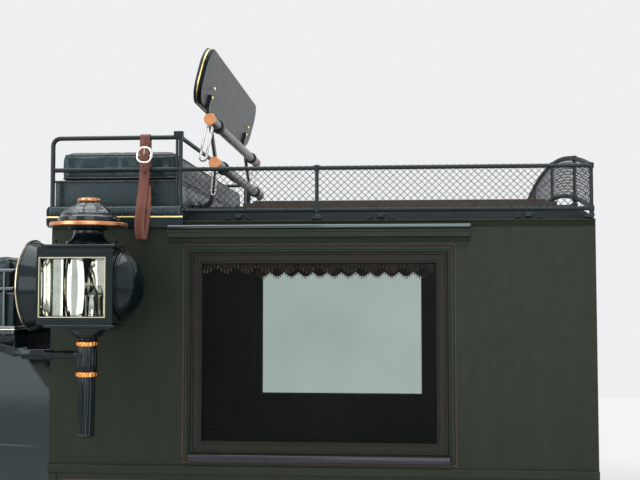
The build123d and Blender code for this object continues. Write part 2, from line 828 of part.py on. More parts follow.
# Boot: its side profile is hollowed towards the cabin and towards the footboard
bootBack = cabinFront - seatGap
with BuildPart() as boot:
    with BuildSketch(Plane.XZ.offset(-bootHalfWidth)):
        with BuildLine():
            Line((bootBack, bootBottom), (bootBack, boxBoardBottom - 215))
            ThreePointArc(
                (bootBack, boxBoardBottom - 215),
                (cabinFront - 84.5, boxBoardBottom - 123),
                (boxSeatBack, boxBoardBottom - 30),
            )
            Line((boxSeatBack, boxBoardBottom - 30), (boxSeatBack, boxBoardBottom))
            Line((boxSeatBack, boxBoardBottom), (boxSeatFront + 20, boxBoardBottom))
            ThreePointArc(
                (boxSeatFront + 20, boxBoardBottom),
                (boxSeatFront - 18, boxBoardBottom - 210),
                (bootFront, footRear + 30),
            )
            Line((bootFront, footRear + 30), (bootFront, bootBottom + 90))
            ThreePointArc(
                (bootFront, bootBottom + 90),
                (bootFront + 26, bootBottom + 26),
                (bootFront + 90, bootBottom),
            )
            Line((bootFront + 90, bootBottom), (bootBack, bootBottom))
        make_face()
    extrude(amount=2 * bootHalfWidth)
boot.part.label = "boot"

# Driver's seat: board, skirt, cushion and rails
boxMiddle = (boxSeatBack + boxSeatFront) / 2
boxLength = boxSeatBack - boxSeatFront
boxBoardTop = boxBoardBottom + boxBoardThickness
boxRailHeight = boxBoardTop + boxRailRise
with BuildPart() as boxSeat:
    with BuildSketch(Plane.XY.offset(boxBoardBottom + seatGap)):
        with Locations((boxMiddle, 0)):
            RectangleRounded(boxLength, 2 * boxSeatHalf, 18)
    extrude(amount=boxBoardThickness - seatGap)
    with BuildSketch(Plane.XY.offset(boxBoardTop)):
        with Locations((boxMiddle, 0)):
            Rectangle(boxLength - 2 * boxSkirtInset, 2 * (boxSeatHalf - boxSkirtInset))
    extrude(amount=boxSkirtTop - boxBoardTop)
boxSeat.part.label = "box_seat_base"

with BuildPart() as boxCushion:
    with BuildSketch(Plane.XZ.offset(-boxSeatHalf + boxSkirtInset + 6)):
        with BuildLine():
            Polyline(
                (boxSeatFront + boxSkirtInset + 4, boxSkirtTop + seatGap),
                (boxSeatBack - boxSkirtInset - 4, boxSkirtTop + seatGap),
                (boxSeatBack - boxSkirtInset - 4, boxCushionTop),
                (boxSeatFront + boxSkirtInset + 4, boxCushionTop - 45),
                close=True,
            )
        make_face()
    extrude(amount=2 * (boxSeatHalf - boxSkirtInset - 6))
    fillet(boxCushion.faces().sort_by(Axis.Z)[-1].edges(), radius=20)
boxCushion.part.label = "box_seat_cushion"

boxRailX = boxSeatBack - boxRailRadius - 4
boxRailY = boxSeatHalf - boxRailRadius - 4
boxRailEnd = boxSeatFront + 70
with BuildPart() as boxRails:
    for height in (boxRailHeight, boxRailHeight - 56):
        with BuildLine() as loop:
            FilletPolyline(
                (boxRailEnd, -boxRailY, height),
                (boxRailX, -boxRailY, height),
                (boxRailX, boxRailY, height),
                (boxRailEnd, boxRailY, height),
                radius=30,
            )
        with BuildSketch(Plane(origin=loop.line @ 0, z_dir=loop.line % 0)):
            Circle(boxRailRadius)
        sweep(path=loop.line)
    for x, y in (
        (boxRailEnd, -boxRailY),
        (boxRailEnd, boxRailY),
        (boxRailX - 36, -boxRailY),
        (boxRailX - 36, boxRailY),
    ):
        with BuildSketch(Plane.XY.offset(boxBoardTop + seatGap)):
            with Locations((x, y)):
                Circle(boxRailRadius * 0.9)
        extrude(amount=boxRailHeight - boxBoardTop)
boxRails.part.label = "box_seat_rails"

# Footboard with its dash and the two stays below it
footX = bootFront - seatGap
footEnd = footX - footReach
footSlope = (footFront - footRear) / footReach
with BuildPart() as footboard:
    with BuildSketch(Plane.XZ.offset(-footHalfWidth)):
        with BuildLine():
            Polyline(
                (footX, footRear),
                (footEnd, footFront),
                (footEnd - dashLean, footFront + dashHeight),
                (footEnd - dashLean - footThickness * 0.7, footFront + dashHeight),
                (footEnd - footThickness * 0.7, footFront - footThickness),
                (footX, footRear - footThickness),
                close=True,
            )
        make_face()
    extrude(amount=2 * footHalfWidth)
    for y in (-stayY, stayY):
        with BuildSketch(Plane.XZ.offset(y - stayWidth / 2)):
            with BuildLine():
                near = 0.7 * footReach
                far = near + 1.6 * stayThickness
                Polyline(
                    (footX, bootBottom + 130),
                    (footX, bootBottom + 130 + 1.3 * stayThickness),
                    (footX - near, footRear - footThickness + near * footSlope + 1),
                    (footX - far, footRear - footThickness + far * footSlope + 1),
                    close=True,
                )
            make_face()
        extrude(amount=stayWidth)
footboard.part.label = "footboard"

# Carriage lamp: a round body with a flared front, a glazed side and a stem
lampPlane = Plane(origin=(lampX, -lampY, 0), x_dir=(1, 0, 0), z_dir=(0, -1, 0))
lampUpright = Axis((lampX, -lampY, 0), (0, 0, 1))
lampLevel = Axis((lampX, -lampY, lampAxisZ), (1, 0, 0))
lampBody = lampHalfHeight
with BuildPart() as lampNear:
    with BuildSketch(lampPlane):
        with BuildLine():
            Polyline(
                (44, lampAxisZ),
                (44, lampAxisZ + lampDome),
            )
            TangentArc(
                (44, lampAxisZ + lampDome), (44 + lampDome, lampAxisZ), tangent=(1, 0)
            )
            Line((44 + lampDome, lampAxisZ), (44, lampAxisZ))
        make_face()
        with BuildLine():
            Polyline(
                (44, lampAxisZ),
                (44, lampAxisZ + lampBody),
                (-104, lampAxisZ + lampBody),
                (6 - lampBezelReach, lampAxisZ + lampBezel - 3),
                (6 - lampBezelReach, lampAxisZ + lampBezel),
                (-lampBezelReach, lampAxisZ + lampBezel),
                (-lampBezelReach, lampAxisZ),
                close=True,
            )
        make_face()
    revolve(axis=lampLevel)
    with BuildSketch(lampPlane.offset(lampHalfDepth - 60)):
        with Locations((lampBoxX, lampAxisZ - 2)):
            RectangleRounded(lampBoxWidth, lampBoxHeight, 6)
    extrude(amount=60)
    with BuildSketch(lampPlane):
        with BuildLine():
            Polyline(
                (0, lampAxisZ + 60),
                (50, lampAxisZ + 60),
                (50, lampAxisZ + 118),
                (37, lampAxisZ + 132),
                (35, lampAxisZ + 143),
                (52, lampAxisZ + 153),
                (100, lampAxisZ + 154.5),
                (100, lampAxisZ + 167.5),
                (79, lampAxisZ + 169),
                (77, lampAxisZ + 179),
                (70, lampAxisZ + 190),
                (54, lampAxisZ + 203),
                (31, lampAxisZ + 215),
                (29.5, lampAxisZ + 218),
                (29.5, lampAxisZ + 232),
                (0, lampAxisZ + 235),
                close=True,
            )
        make_face()
        with BuildLine():
            Polyline(
                (0, lampAxisZ - 60),
                (50, lampAxisZ - 60),
                (50, lampAxisZ - 112),
                (46, lampAxisZ - 125),
                (36, lampAxisZ - 137),
                (26, lampAxisZ - 143),
                (28, lampAxisZ - 149),
                (28, lampBarrelTop),
                (lampBarrel, lampBarrelTop - 2),
                (lampBarrel, lampBarrelBottom),
                (27.5, lampBarrelBottom - 1),
                (27.5, lampBarrelBottom - 8),
                (20.5, lampBarrelBottom - 11),
                (19.5, lampStemBottom + 4),
                (15, lampStemBottom),
                (0, lampStemBottom),
                close=True,
            )
        make_face()
    revolve(axis=lampUpright)
    with BuildSketch(lampPlane):
        with BuildLine():
            Polyline(
                (36, lampAxisZ),
                (36, lampAxisZ + lampBody - 6),
                (-104, lampAxisZ + lampBody - 6),
                (16 - lampBezelReach, lampAxisZ + lampLens),
                (-lampBezelReach - 4, lampAxisZ + lampLens),
                (-lampBezelReach - 4, lampAxisZ),
                close=True,
            )
        make_face()
    revolve(axis=lampLevel, mode=Mode.SUBTRACT)
    with BuildSketch(lampPlane):
        with Locations((lampPaneX, lampAxisZ - 6)):
            Rectangle(lampPaneWidth, lampPaneHeight)
    extrude(amount=lampHalfDepth, mode=Mode.SUBTRACT)
    with BuildSketch(lampPlane.offset(lampHalfDepth)):
        with Locations((lampBoxX, lampAxisZ - 2)):
            Rectangle(lampBoxWidth, lampBoxHeight)
    extrude(amount=lampDome, mode=Mode.SUBTRACT)
lampNear.part.label = "lamp_near"

with BuildPart() as lampOff:
    mirror(lampNear.part, about=Plane.XZ)
lampOff.part.label = "lamp_off"

# Panes of the lamps: a flat one at the side and a round one in front
with BuildPart() as lampPane:
    with BuildSketch(lampPlane.offset(lampHalfDepth - 10)):
        with Locations((lampPaneX, lampAxisZ - 6)):
            Rectangle(lampPaneWidth - 2 * seatGap, lampPaneHeight - 2 * seatGap)
    extrude(amount=3)
    with BuildSketch(Plane.YZ.offset(lampX - lampBezelReach + 4)):
        with Locations((-lampY, lampAxisZ)):
            Circle(lampLens - seatGap)
    extrude(amount=3)

with BuildPart() as lampGlasses:
    add(lampPane.part)
    mirror(lampPane.part, about=Plane.XZ)
lampGlasses.part.label = "lamp_glasses"

# Irons that carry the lamps from the ends of the driver's seat board
with BuildPart() as lampIronNear:
    ironY0 = boxSeatHalf + seatGap + 5
    ironTurn = (boxSeatBack - 60, -ironY0)
    ironEnd = (
        lampX - lampElbow + 0.2 * (ironTurn[0] - lampX + lampElbow),
        0.2 * ironTurn[1] - 0.8 * lampY,
    )
    with BuildLine() as path:
        FilletPolyline(
            (boxSeatBack - 220, -ironY0, lampIronZ),
            (*ironTurn, lampIronZ),
            (*ironEnd, lampIronZ),
            radius=40,
        )
    with BuildSketch(Plane(origin=path.line @ 0, x_dir=(0, 1, 0), z_dir=path.line % 0)):
        RectangleRounded(10, 24, 3)
    sweep(path=path.line)
    with BuildLine() as elbow:
        FilletPolyline(
            (ironEnd[0], ironEnd[1], lampIronZ),
            (lampX - lampElbow, -lampY, lampIronZ),
            (lampX - lampBarrel / 2, -lampY, lampIronZ),
            radius=34,
        )
    with BuildSketch(Plane(origin=elbow.line @ 0, z_dir=elbow.line % 0)):
        Circle(lampElbowRod)
    sweep(path=elbow.line)
    with BuildSketch(Plane.XY.offset(lampIronZ - 20)):
        with Locations((lampX, -lampY)):
            Circle(lampBarrel + seatGap)
    extrude(amount=40, mode=Mode.SUBTRACT)

with BuildPart() as lampIrons:
    add(lampIronNear.part)
    mirror(lampIronNear.part, about=Plane.XZ)
lampIrons.part.label = "lamp_irons"


def springPair(label, middleX, springY, low, high):
    """Two full elliptic springs between two heights, one on each side."""
    eyeZ = (low + high) / 2
    rise = (high - low) / 2 - springLeaves * springLeaf - springPad / 18
    bow = (springHalf**2 + rise**2) / (2 * rise)
    sweepAngle = degrees(asin(springHalf / bow))
    with BuildPart() as springs:
        for middleY in (-springY, springY):
            with BuildSketch(Plane.XZ.offset(middleY - springWidth / 2)):
                for side in (1, -1):
                    for leaf in range(springLeaves):
                        half = sweepAngle * (1 - 0.21 * leaf)
                        inner = bow + leaf * springLeaf
                        centre = (middleX, eyeZ + side * (rise - bow))
                        start = 90 * side - half
                        with BuildLine():
                            lower = CenterArc(centre, inner, start, 2 * half)
                            upper = CenterArc(centre, inner + springLeaf, start, 2 * half)
                            Line(lower @ 0, upper @ 0)
                            Line(lower @ 1, upper @ 1)
                        make_face()
                    with Locations((middleX, eyeZ + side * ((high - low) / 2 - 9))):
                        Rectangle(springPad, 18)
                with Locations((middleX - springHalf, eyeZ), (middleX + springHalf, eyeZ)):
                    Circle(springEye)
            extrude(amount=springWidth)
    springs.part.label = label
    return springs


# Springs between the rear axle and the floor, and between the front axle and the bed
axleTop = axleBeam / 2 + seatGap
rearSprings = springPair(
    "rear_springs", rearAxleX, rearSpringY, rearRadius + axleTop, sillHeight - seatGap
)
frontSprings = springPair(
    "front_springs", frontAxleX, frontSpringY, frontRadius + axleTop, bedBottom - seatGap
)


def axleWithSpindles(label, middleX, height, track):
    """A square beam between two collars, with a round spindle at each end."""
    naveInner = track / 2 - naveLength / 2
    beamEnd = naveInner - collarWidth - 3
    with BuildPart() as axle:
        with BuildSketch(Plane.XZ.offset(-beamEnd)):
            with Locations((middleX, height)):
                RectangleRounded(axleBeam, axleBeam, 5)
        extrude(amount=2 * beamEnd)
        for start in (beamEnd, -beamEnd - collarWidth):
            with BuildSketch(Plane.XZ.offset(start)):
                with Locations((middleX, height)):
                    Circle(collarRadius)
            extrude(amount=collarWidth)
        for start in (beamEnd, -beamEnd - naveLength + 20):
            with BuildSketch(Plane.XZ.offset(start)):
                with Locations((middleX, height)):
                    Circle(spindleRadius)
            extrude(amount=naveLength - 20)
    axle.part.label = label
    return axle


rearAxle = axleWithSpindles("rear_axle", rearAxleX, rearRadius, rearTrack)
frontAxle = axleWithSpindles("front_axle", frontAxleX, frontRadius, frontTrack)

# Rear steps on two bent irons
with BuildPart() as rearStep:
    upperX = cabinRear + upperStepOut
    lowerX = cabinRear + lowerStepOut
    for x, z in ((upperX, upperStepZ), (lowerX, lowerStepZ)):
        with BuildSketch(Plane.XY.offset(z - stepThickness)):
            with Locations((x + stepTreadDepth / 2, 0)):
                RectangleRounded(stepTreadDepth, stepWidth, 12)
        extrude(amount=stepThickness)
    for y in (-stepIronY, stepIronY):
        with BuildSketch(Plane.XZ.offset(y - stepIronWidth / 2)):
            with BuildLine():
                Polyline(
                    (cabinRear - 90, sillHeight - seatGap),
                    (cabinRear - 20, sillHeight - seatGap),
                    (upperX + stepIronDepth, upperStepZ - stepThickness),
                    (upperX + stepTreadDepth - 10, upperStepZ - stepThickness),
                    (lowerX + stepTreadDepth / 2, lowerStepZ - stepThickness),
                    (lowerX + stepTreadDepth - 10, lowerStepZ - stepThickness),
                    (lowerX + stepTreadDepth - 10, lowerStepZ - stepThickness - 12),
                    (lowerX + 10, lowerStepZ - stepThickness - 12),
                    (upperX + stepTreadDepth / 2, upperStepZ - stepThickness - 30),
                    (upperX, upperStepZ - stepThickness - 30),
                    close=True,
                )
            make_face()
        extrude(amount=stepIronWidth)
rearStep.part.label = "rear_step"

# Upper half of the turntable, fixed below the boot, with the perch bolt
with BuildPart() as upperRing:
    with BuildSketch(Plane.XY.offset(ringTop - ringThickness)):
        with Locations((frontAxleX, 0)):
            Circle(ringOuter)
            Circle(ringInner, mode=Mode.SUBTRACT)
            Rectangle(bedWidth, 2 * ringInner + 10)
            Rectangle(2 * ringInner + 10, bedWidth)
    extrude(amount=ringThickness)
    with BuildSketch(Plane.XY.offset(ringTop)):
        with Locations((frontAxleX, 0)):
            Rectangle(bedWidth, 2 * ringOuter)
        with Locations((frontAxleX + 40, 0)):
            Rectangle(2 * ringOuter - 160, bedWidth)
    extrude(amount=bootBottom - ringTop - seatGap)
    with BuildSketch(Plane.XY.offset(bedBottom - 14)):
        with Locations((frontAxleX, 0)):
            Circle(perchRadius)
    extrude(amount=ringTop - bedBottom + 14)
upperRing.part.label = "upper_ring"

# Turning carriage: lower ring, bed, two long futchells and a sway bar
lowerRingTop = ringTop - ringThickness - pinGap
with BuildPart() as forecarriage:
    with BuildSketch(Plane.XY.offset(bedTop)):
        for side in (-1, 1):
            with Locations((frontAxleX + (futchellRear - futchellFront) / 2, side * futchellY)):
                Rectangle(futchellFront + futchellRear, futchellWidth)
        with Locations((frontAxleX + futchellRear - futchellWidth / 2, 0)):
            Rectangle(futchellWidth, 2 * futchellY)
        with Locations((frontAxleX, 0)):
            Rectangle(bedWidth, 2 * ringOuter)
            Circle(perchRadius + runningGap, mode=Mode.SUBTRACT)
    extrude(amount=futchellHeight)
    with BuildSketch(Plane.XY.offset(bedTop + futchellHeight)):
        with Locations((frontAxleX, 0)):
            Circle(ringOuter)
            Circle(ringInner, mode=Mode.SUBTRACT)
    extrude(amount=lowerRingTop - bedTop - futchellHeight)
    with BuildSketch(Plane.XY.offset(bedBottom)):
        with Locations((frontAxleX, 0)):
            Rectangle(bedWidth, 2 * bedHalf)
            Circle(perchRadius + runningGap, mode=Mode.SUBTRACT)
    extrude(amount=bedTop - bedBottom)
forecarriage.part.label = "forecarriage"

# Splinter bar across the futchell ends, with trace rollers and the pole socket
splinterX = frontAxleX - futchellFront - splinterDepth / 2 - seatGap
splinterZ = bedTop + futchellHeight / 2
with BuildPart() as splinterBar:
    with BuildSketch(Plane.XY.offset(splinterZ - splinterHeight / 2)):
        with Locations((splinterX, 0)):
            RectangleRounded(splinterDepth, 2 * splinterHalf, 12)
    extrude(amount=splinterHeight)
    for y in (-splinterHalf + 40, -110, 110, splinterHalf - 40):
        with BuildSketch(Plane.XY.offset(splinterZ + splinterHeight / 2)):
            with Locations((splinterX, y)):
                Circle(traceRoller)
        extrude(amount=34)
        with BuildSketch(Plane.XY.offset(splinterZ + splinterHeight / 2 + 34)):
            with Locations((splinterX, y)):
                Circle(traceRoller + 8)
        extrude(amount=6)
    for side in (-1, 1):
        level = splinterZ + side * (poleHalf + socketPlate / 2)
        with BuildSketch(Plane.XY.offset(level - socketPlate / 2)):
            with Locations((splinterX - splinterDepth / 2 - socketLength / 2 + 20, 0)):
                RectangleRounded(socketLength + 40, 2 * socketHalf, 10)
            with Locations((splinterX - splinterDepth / 2 - socketLength * 0.62, 0)):
                Circle(polePin, mode=Mode.SUBTRACT)
        extrude(amount=socketPlate)
    cheekY = socketHalf - socketPlate / 2
    with BuildSketch(Plane.XY.offset(splinterZ - poleHalf)):
        with Locations((splinterX - splinterDepth / 2 - socketLength / 2 + 20, 0)):
            with Locations((0, -cheekY), (0, cheekY)):
                Rectangle(socketLength + 20, socketPlate)
    extrude(amount=2 * poleHalf)
splinterBar.part.label = "splinter_bar"


def wheelParts(name, middleX, middleY, radius, spokes):
    """Build and write one wheel and its tyre on the near side, then the off side."""
    plane = Plane(origin=(middleX, -middleY, radius), x_dir=(1, 0, 0), z_dir=(0, -1, 0))
    across = Plane(origin=(middleX, -middleY, radius), x_dir=(1, 0, 0), z_dir=(0, 0, -1))
    hubAxis = Axis((middleX, -middleY, radius), (0, -1, 0))
    felloeOuter = radius - tyreDepth
    felloeInner = felloeOuter - felloeDepth
    half = naveLength / 2
    with BuildPart() as spoke:
        with BuildSketch(Plane.YZ.offset(naveRadius - 16)) as root:
            Rectangle(spokeRootDepth, spokeRootWidth)
            chamfer(root.vertices(), length=spokeRootDepth * 0.28)
        with BuildSketch(Plane.YZ.offset(felloeInner + 2)) as tip:
            with Locations((0, spokeDish)):
                Rectangle(spokeTipDepth, spokeTipWidth)
            chamfer(tip.vertices(), length=spokeTipDepth * 0.28)
        loft()
    with BuildPart() as wheel:
        with BuildSketch(across):
            with BuildLine():
                Polyline(
                    (0, -half),
                    (naveRadius * 0.68, -half),
                    (naveRadius * 0.72, -half + naveBand),
                    (naveRadius * 0.86, -half + naveBand + 4),
                    (naveRadius, -spokeRootWidth * 0.75),
                    (naveRadius, spokeRootWidth * 0.75),
                    (naveRadius * 0.8, half - naveBand - 4),
                    (naveRadius * 0.62, half - naveBand),
                    (naveRadius * 0.58, half),
                    (0, half),
                    close=True,
                )
            make_face()
        revolve(axis=hubAxis)
        with BuildSketch(plane.offset(spokeDish - felloeWidth / 2)):
            Circle(felloeOuter)
            Circle(felloeInner, mode=Mode.SUBTRACT)
        extrude(amount=felloeWidth)
        with BuildSketch(plane.offset(-half)):
            Circle(spindleRadius + runningGap)
        extrude(amount=naveLength - 12, mode=Mode.SUBTRACT)
        for index in range(spokes):
            turned = plane.location * Location((0, 0, 0), (0, 0, 360 * index / spokes))
            add(spoke.part.moved(turned))
    wheel.part.label = "wheel_" + name + "_near"
    with BuildPart() as tyre:
        with BuildSketch(plane.offset(spokeDish - tyreWidth / 2)):
            Circle(radius)
            Circle(felloeOuter + seatGap, mode=Mode.SUBTRACT)
        extrude(amount=tyreWidth)
        chamfer(tyre.edges().filter_by(GeomType.CIRCLE).sort_by(SortBy.RADIUS)[-2:], length=5)
    tyre.part.label = "tyre_" + name + "_near"
    with BuildPart() as wheelOff:
        mirror(wheel.part, about=Plane.XZ)
    wheelOff.part.label = "wheel_" + name + "_off"
    with BuildPart() as tyreOff:
        mirror(tyre.part, about=Plane.XZ)
    tyreOff.part.label = "tyre_" + name + "_off"
    return [wheel, tyre, wheelOff, tyreOff]


rearWheels = wheelParts("rear", rearAxleX, rearTrack / 2, rearRadius, rearSpokes)
frontWheels = wheelParts("front", frontAxleX, frontTrack / 2, frontRadius, frontSpokes)

pieces = [
    cabinFloor,
    sideNear,
    sideOff,
    frontWall,
    rearWall,
    roof,
    sashNear,
    sashOff,
    glassNear,
    glassOff,
    frontSash,
    frontGlass,
    door,
    doorGlass,
    benchNear,
    benchOff,
    slats,
    galleryNear,
    galleryOff,
    galleryAcross,
    roofSeat,
    roofCushion,
    roofRails,
    backRest,
    backIrons,
    spareBars,
    strap,
    boot,
    boxSeat,
    boxCushion,
    boxRails,
    footboard,
    lampNear,
    lampOff,
    lampGlasses,
    lampIrons,
    rearSprings,
    frontSprings,
    rearAxle,
    frontAxle,
    rearStep,
    upperRing,
    forecarriage,
    splinterBar,
]
for piece in pieces + rearWheels + frontWheels:
    export_step(piece.part, "parts/" + piece.part.label + ".step")
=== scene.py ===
import bmesh
import bpy
from math import atan, atan2, cos, exp, hypot, pi, radians, sin, sqrt, tan
from mathutils import Matrix, Vector


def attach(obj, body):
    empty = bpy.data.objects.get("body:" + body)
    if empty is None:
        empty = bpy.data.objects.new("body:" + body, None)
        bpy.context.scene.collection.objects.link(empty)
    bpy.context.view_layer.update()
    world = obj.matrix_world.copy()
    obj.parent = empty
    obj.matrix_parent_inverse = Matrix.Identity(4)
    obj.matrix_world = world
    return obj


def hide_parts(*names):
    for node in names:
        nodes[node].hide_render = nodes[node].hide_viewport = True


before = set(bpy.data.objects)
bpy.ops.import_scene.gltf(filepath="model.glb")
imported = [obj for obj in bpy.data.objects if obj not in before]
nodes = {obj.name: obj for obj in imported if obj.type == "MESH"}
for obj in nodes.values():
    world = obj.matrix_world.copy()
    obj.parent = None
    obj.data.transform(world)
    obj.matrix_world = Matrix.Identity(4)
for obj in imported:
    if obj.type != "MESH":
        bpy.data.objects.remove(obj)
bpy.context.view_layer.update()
print("carriage loaded")

sides = ((-1, "near"), (1, "off"))
upward, downward, rearward = (0, 0, 1), (0, 0, -1), (1, 0, 0)
cabin = {"x": 0.48435, "half": 0.650, "roofTop": 2.210, "roofRise": 0.090, "front": -0.29315,
    "rear": 1.26185, "belt": 1.400, "sill": 0.808, "sillHalf": 0.590}
cabinX = cabin["x"]  # middle of the cabin along the vehicle


def sagitta(half, rise):
    # radius of the arc that rises by rise over half its chord
    return (half ** 2 + rise ** 2) / (2 * rise)


roofRadius = sagitta(cabin["half"], cabin["roofRise"])


def roofZ(y):
    return cabin["roofTop"] - roofRadius + sqrt(roofRadius ** 2 - y ** 2)


# shader maths and nodes
class Wire:
    # one shader socket, so that maths on it reads as arithmetic
    def __init__(self, maker, socket):
        self.maker = maker
        self.socket = socket

    def math(self, operation, other):
        return self.maker.node("ShaderNodeMath", {"operation": operation}, {0: self, 1: other})

    def __add__(self, other):
        return self.math("ADD", other)

    __radd__ = __add__

    def __mul__(self, other):
        return self.math("MULTIPLY", other)

    __rmul__ = __mul__

    def __sub__(self, other):
        return self.math("SUBTRACT", other)

    def __rsub__(self, other):
        return self * -1.0 + other

    def __gt__(self, other):
        return self.math("GREATER_THAN", other)

    def __lt__(self, other):
        return self.math("LESS_THAN", other)


class NodeMaker:
    # makes nodes in one tree and feeds their sockets
    def __init__(self, tree):
        self.tree = tree
        self.place = None

    def feed(self, socket, value):
        if isinstance(value, Wire):
            self.tree.links.new(value.socket, socket)
        elif socket.type == "RGBA" and len(value) == 3:
            socket.default_value = (*value, 1)
        else:
            socket.default_value = value

    def node(self, kind, settings=None, values=None, output=0):
        made = self.tree.nodes.new(kind)
        for key, value in (settings or {}).items():
            setattr(made, key, value)
        for key, value in (values or {}).items():
            self.feed(made.inputs[key], value)
        return Wire(self, made.outputs[output])

    def point(self, scale=(1, 1, 1)):
        if self.place is None:
            self.place = self.node("ShaderNodeTexCoord", output="Object")
        return self.node("ShaderNodeMapping", {}, {"Vector": self.place, "Scale": scale})

    def axis(self, which):
        return self.node("ShaderNodeSeparateXYZ", {}, {0: self.point()}, which)

    def noise(self, scale, detail=4, roughness=0.55, vector=None, distortion=0.0):
        return self.node("ShaderNodeTexNoise", {}, {"Vector": vector or self.point(),
            "Scale": scale, "Detail": detail, "Roughness": roughness, "Distortion": distortion})

    def cells(self, scale, feature="F1"):
        return self.node("ShaderNodeTexVoronoi", {"feature": feature},
            {"Vector": self.point(), "Scale": scale})

    def ramp(self, value, low, high, start=0.0, end=1.0):
        return self.node("ShaderNodeMapRange", {}, {"Value": value, "From Min": low,
            "From Max": high, "To Min": start, "To Max": end})

    def mix(self, factor, first, second):
        return self.node("ShaderNodeMix", {"data_type": "RGBA"},
            {0: factor, 6: first, 7: second}, 2)


class Finish(NodeMaker):
    # one material, made from nodes
    def __init__(self, name, color=(0.5, 0.5, 0.5), roughness=0.5, **constants):
        self.material = bpy.data.materials.new(name)
        self.material.use_nodes = True
        super().__init__(self.material.node_tree)
        self.shader = self.tree.nodes["Principled BSDF"]
        self.feed(self.shader.inputs["Base Color"], color)
        self.feed(self.shader.inputs["Roughness"], roughness)
        for key, value in constants.items():
            self.feed(self.shader.inputs[key.replace("_", " ")], value)

    def color(self, value):
        self.feed(self.shader.inputs["Base Color"], value)

    def rough(self, value):
        self.feed(self.shader.inputs["Roughness"], value)

    def bump(self, height, strength, distance):
        lifted = self.node("ShaderNodeBump", {}, {"Height": height, "Strength": strength,
            "Distance": distance})
        self.feed(self.shader.inputs["Normal"], lifted)


# finishes
def mottled(name, mottle, span, tones, gloss, dent, grain=None, weave=None, **constants):
    # tone and gloss follow one noise; dent is the bump's strength and depth, of a finer
    # grain or a weave where one is given
    made = Finish(name, tones[0], gloss[0], **constants)
    cloud = made.noise(*mottle)
    made.color(made.mix(made.ramp(cloud, *span), *tones))
    made.rough(made.ramp(cloud, 0.3, 0.7, *gloss))
    if weave:
        made.bump(made.cells(weave), *dent)
    else:
        made.bump(made.noise(*grain) if grain else cloud, *dent)
    return made


def paintedPanels():
    made = Finish("PanelPaint", Specular_IOR_Level=0.24)
    cloud = made.noise(1.6, 5, 0.55)
    dust = made.noise(34, 6, 0.7)
    streak = made.noise(6, 4, 0.6, made.point((7, 7, 0.7)))
    tone = made.mix(made.ramp(cloud, 0.3, 0.75), (0.0110, 0.0178, 0.0096), (0.0172, 0.0250, 0.0148))
    tone = made.mix(made.ramp(streak, 0.45, 0.8, 0, 0.4), tone, (0.024, 0.031, 0.021))
    speck = (made.cells(23) < 0.035) * (made.noise(3.1, 2) > 0.63)
    made.color(made.mix(speck, tone, (0.20, 0.19, 0.16)))
    made.rough(made.ramp(dust, 0.3, 0.7, 0.34, 0.50) + speck * 0.3)
    made.bump(made.noise(190, 3) * 0.6 + dust * 0.4, 0.12, 0.0008)
    return made


def roofCanvas():
    # weathered black on the roof, with panel paint on its edges
    made = Finish("RoofCanvas", Specular_IOR_Level=0.06)
    across = made.axis(1).math("ABSOLUTE", 0)
    along = made.axis(0)
    edge = (across > 0.6492).math("MAXIMUM", along > 1.2608).math("MAXIMUM", along < -0.2921)
    wear = made.noise(12, 6, 0.7)
    top = made.mix(made.ramp(wear, 0.4, 0.75), (0.0018, 0.0042, 0.0056), (0.007, 0.012, 0.014))
    chip = (made.cells(31) < 0.10) * (made.noise(9, 3) > 0.60) * (across > 0.640)
    top = made.mix(chip, top, (0.40, 0.40, 0.37))
    made.color(made.mix(edge, top, (0.0150, 0.0225, 0.0130)))
    made.rough(made.ramp(wear, 0.3, 0.7, 0.62, 0.85) - edge * 0.32)
    made.bump(made.noise(140, 4, 0.65) * 0.7 + wear * 0.3, 0.22, 0.0008)
    return made


def glossBlack(name, low, high, coat, shine):
    # the pale blue Specular_Tint is a painted sky-blue tint on the reflections of these black
    # paints
    made = Finish(name, Coat_Weight=coat, Coat_Roughness=0.06, Specular_IOR_Level=shine,
        Specular_Tint=(0.70, 0.92, 1.0))
    dust = made.noise(42, 6, 0.7)
    cloud = made.noise(3.5, 5, 0.6)
    made.color(made.mix(made.ramp(cloud, 0.35, 0.8, 0, 0.6), (0.0030, 0.0070, 0.0085),
        (0.010, 0.017, 0.020)))
    made.rough(made.ramp(dust, 0.35, 0.75, low, high))
    made.bump(made.noise(70, 2) * 0.7 + dust * 0.3, 0.08, 0.001)
    return made


def blackIron(name, tone, worn):
    # the pale blue Specular_Tint is a painted sky-blue tint on the reflections of the irons
    made = Finish(name, Specular_IOR_Level=0.40, Specular_Tint=(0.78, 0.95, 1.0))
    rub = made.noise(24, 6, 0.75)
    made.color(made.mix(made.ramp(rub, 0.62, 0.80, 0, 0.55), tone, worn))
    made.rough(made.ramp(rub, 0.3, 0.75, 0.24, 0.52))
    made.bump(made.noise(120, 4, 0.6), 0.25, 0.0006)
    return made


def darkWood(name, light, dark, along, roughness=(0.38, 0.62), shine=0.5):
    made = Finish(name, Specular_IOR_Level=shine)
    grain = made.noise(26, 8, 0.68, made.point(along), 1.2)
    wear = made.noise(9, 5, 0.7)
    tone = made.mix(made.ramp(grain, 0.32, 0.70), dark, light)
    made.color(made.mix(made.ramp(wear, 0.60, 0.82, 0, 0.45), tone, [2.4 * c for c in light]))
    made.rough(made.ramp(grain, 0.3, 0.7, *roughness))
    made.bump(grain, 0.35, 0.0009)
    return made


def leather(name, tone, edge, grainSize, roughness=(0.34, 0.52), shine=0.5, tint=(1, 1, 1)):
    made = Finish(name, Specular_IOR_Level=shine, Specular_Tint=tint)
    pebble = made.cells(grainSize, "SMOOTH_F1")
    crease = made.noise(30, 6, 0.62, None, 1.6)
    broad = made.noise(7, 4, 0.6)
    made.color(made.mix(made.ramp(broad, 0.35, 0.78, 0, 0.8), tone, edge))
    made.rough(made.ramp(crease, 0.3, 0.7, *roughness))
    made.bump(pebble * 0.45 + made.ramp(crease, 0.42, 0.56) * 0.55, 0.32, 0.0012)
    return made


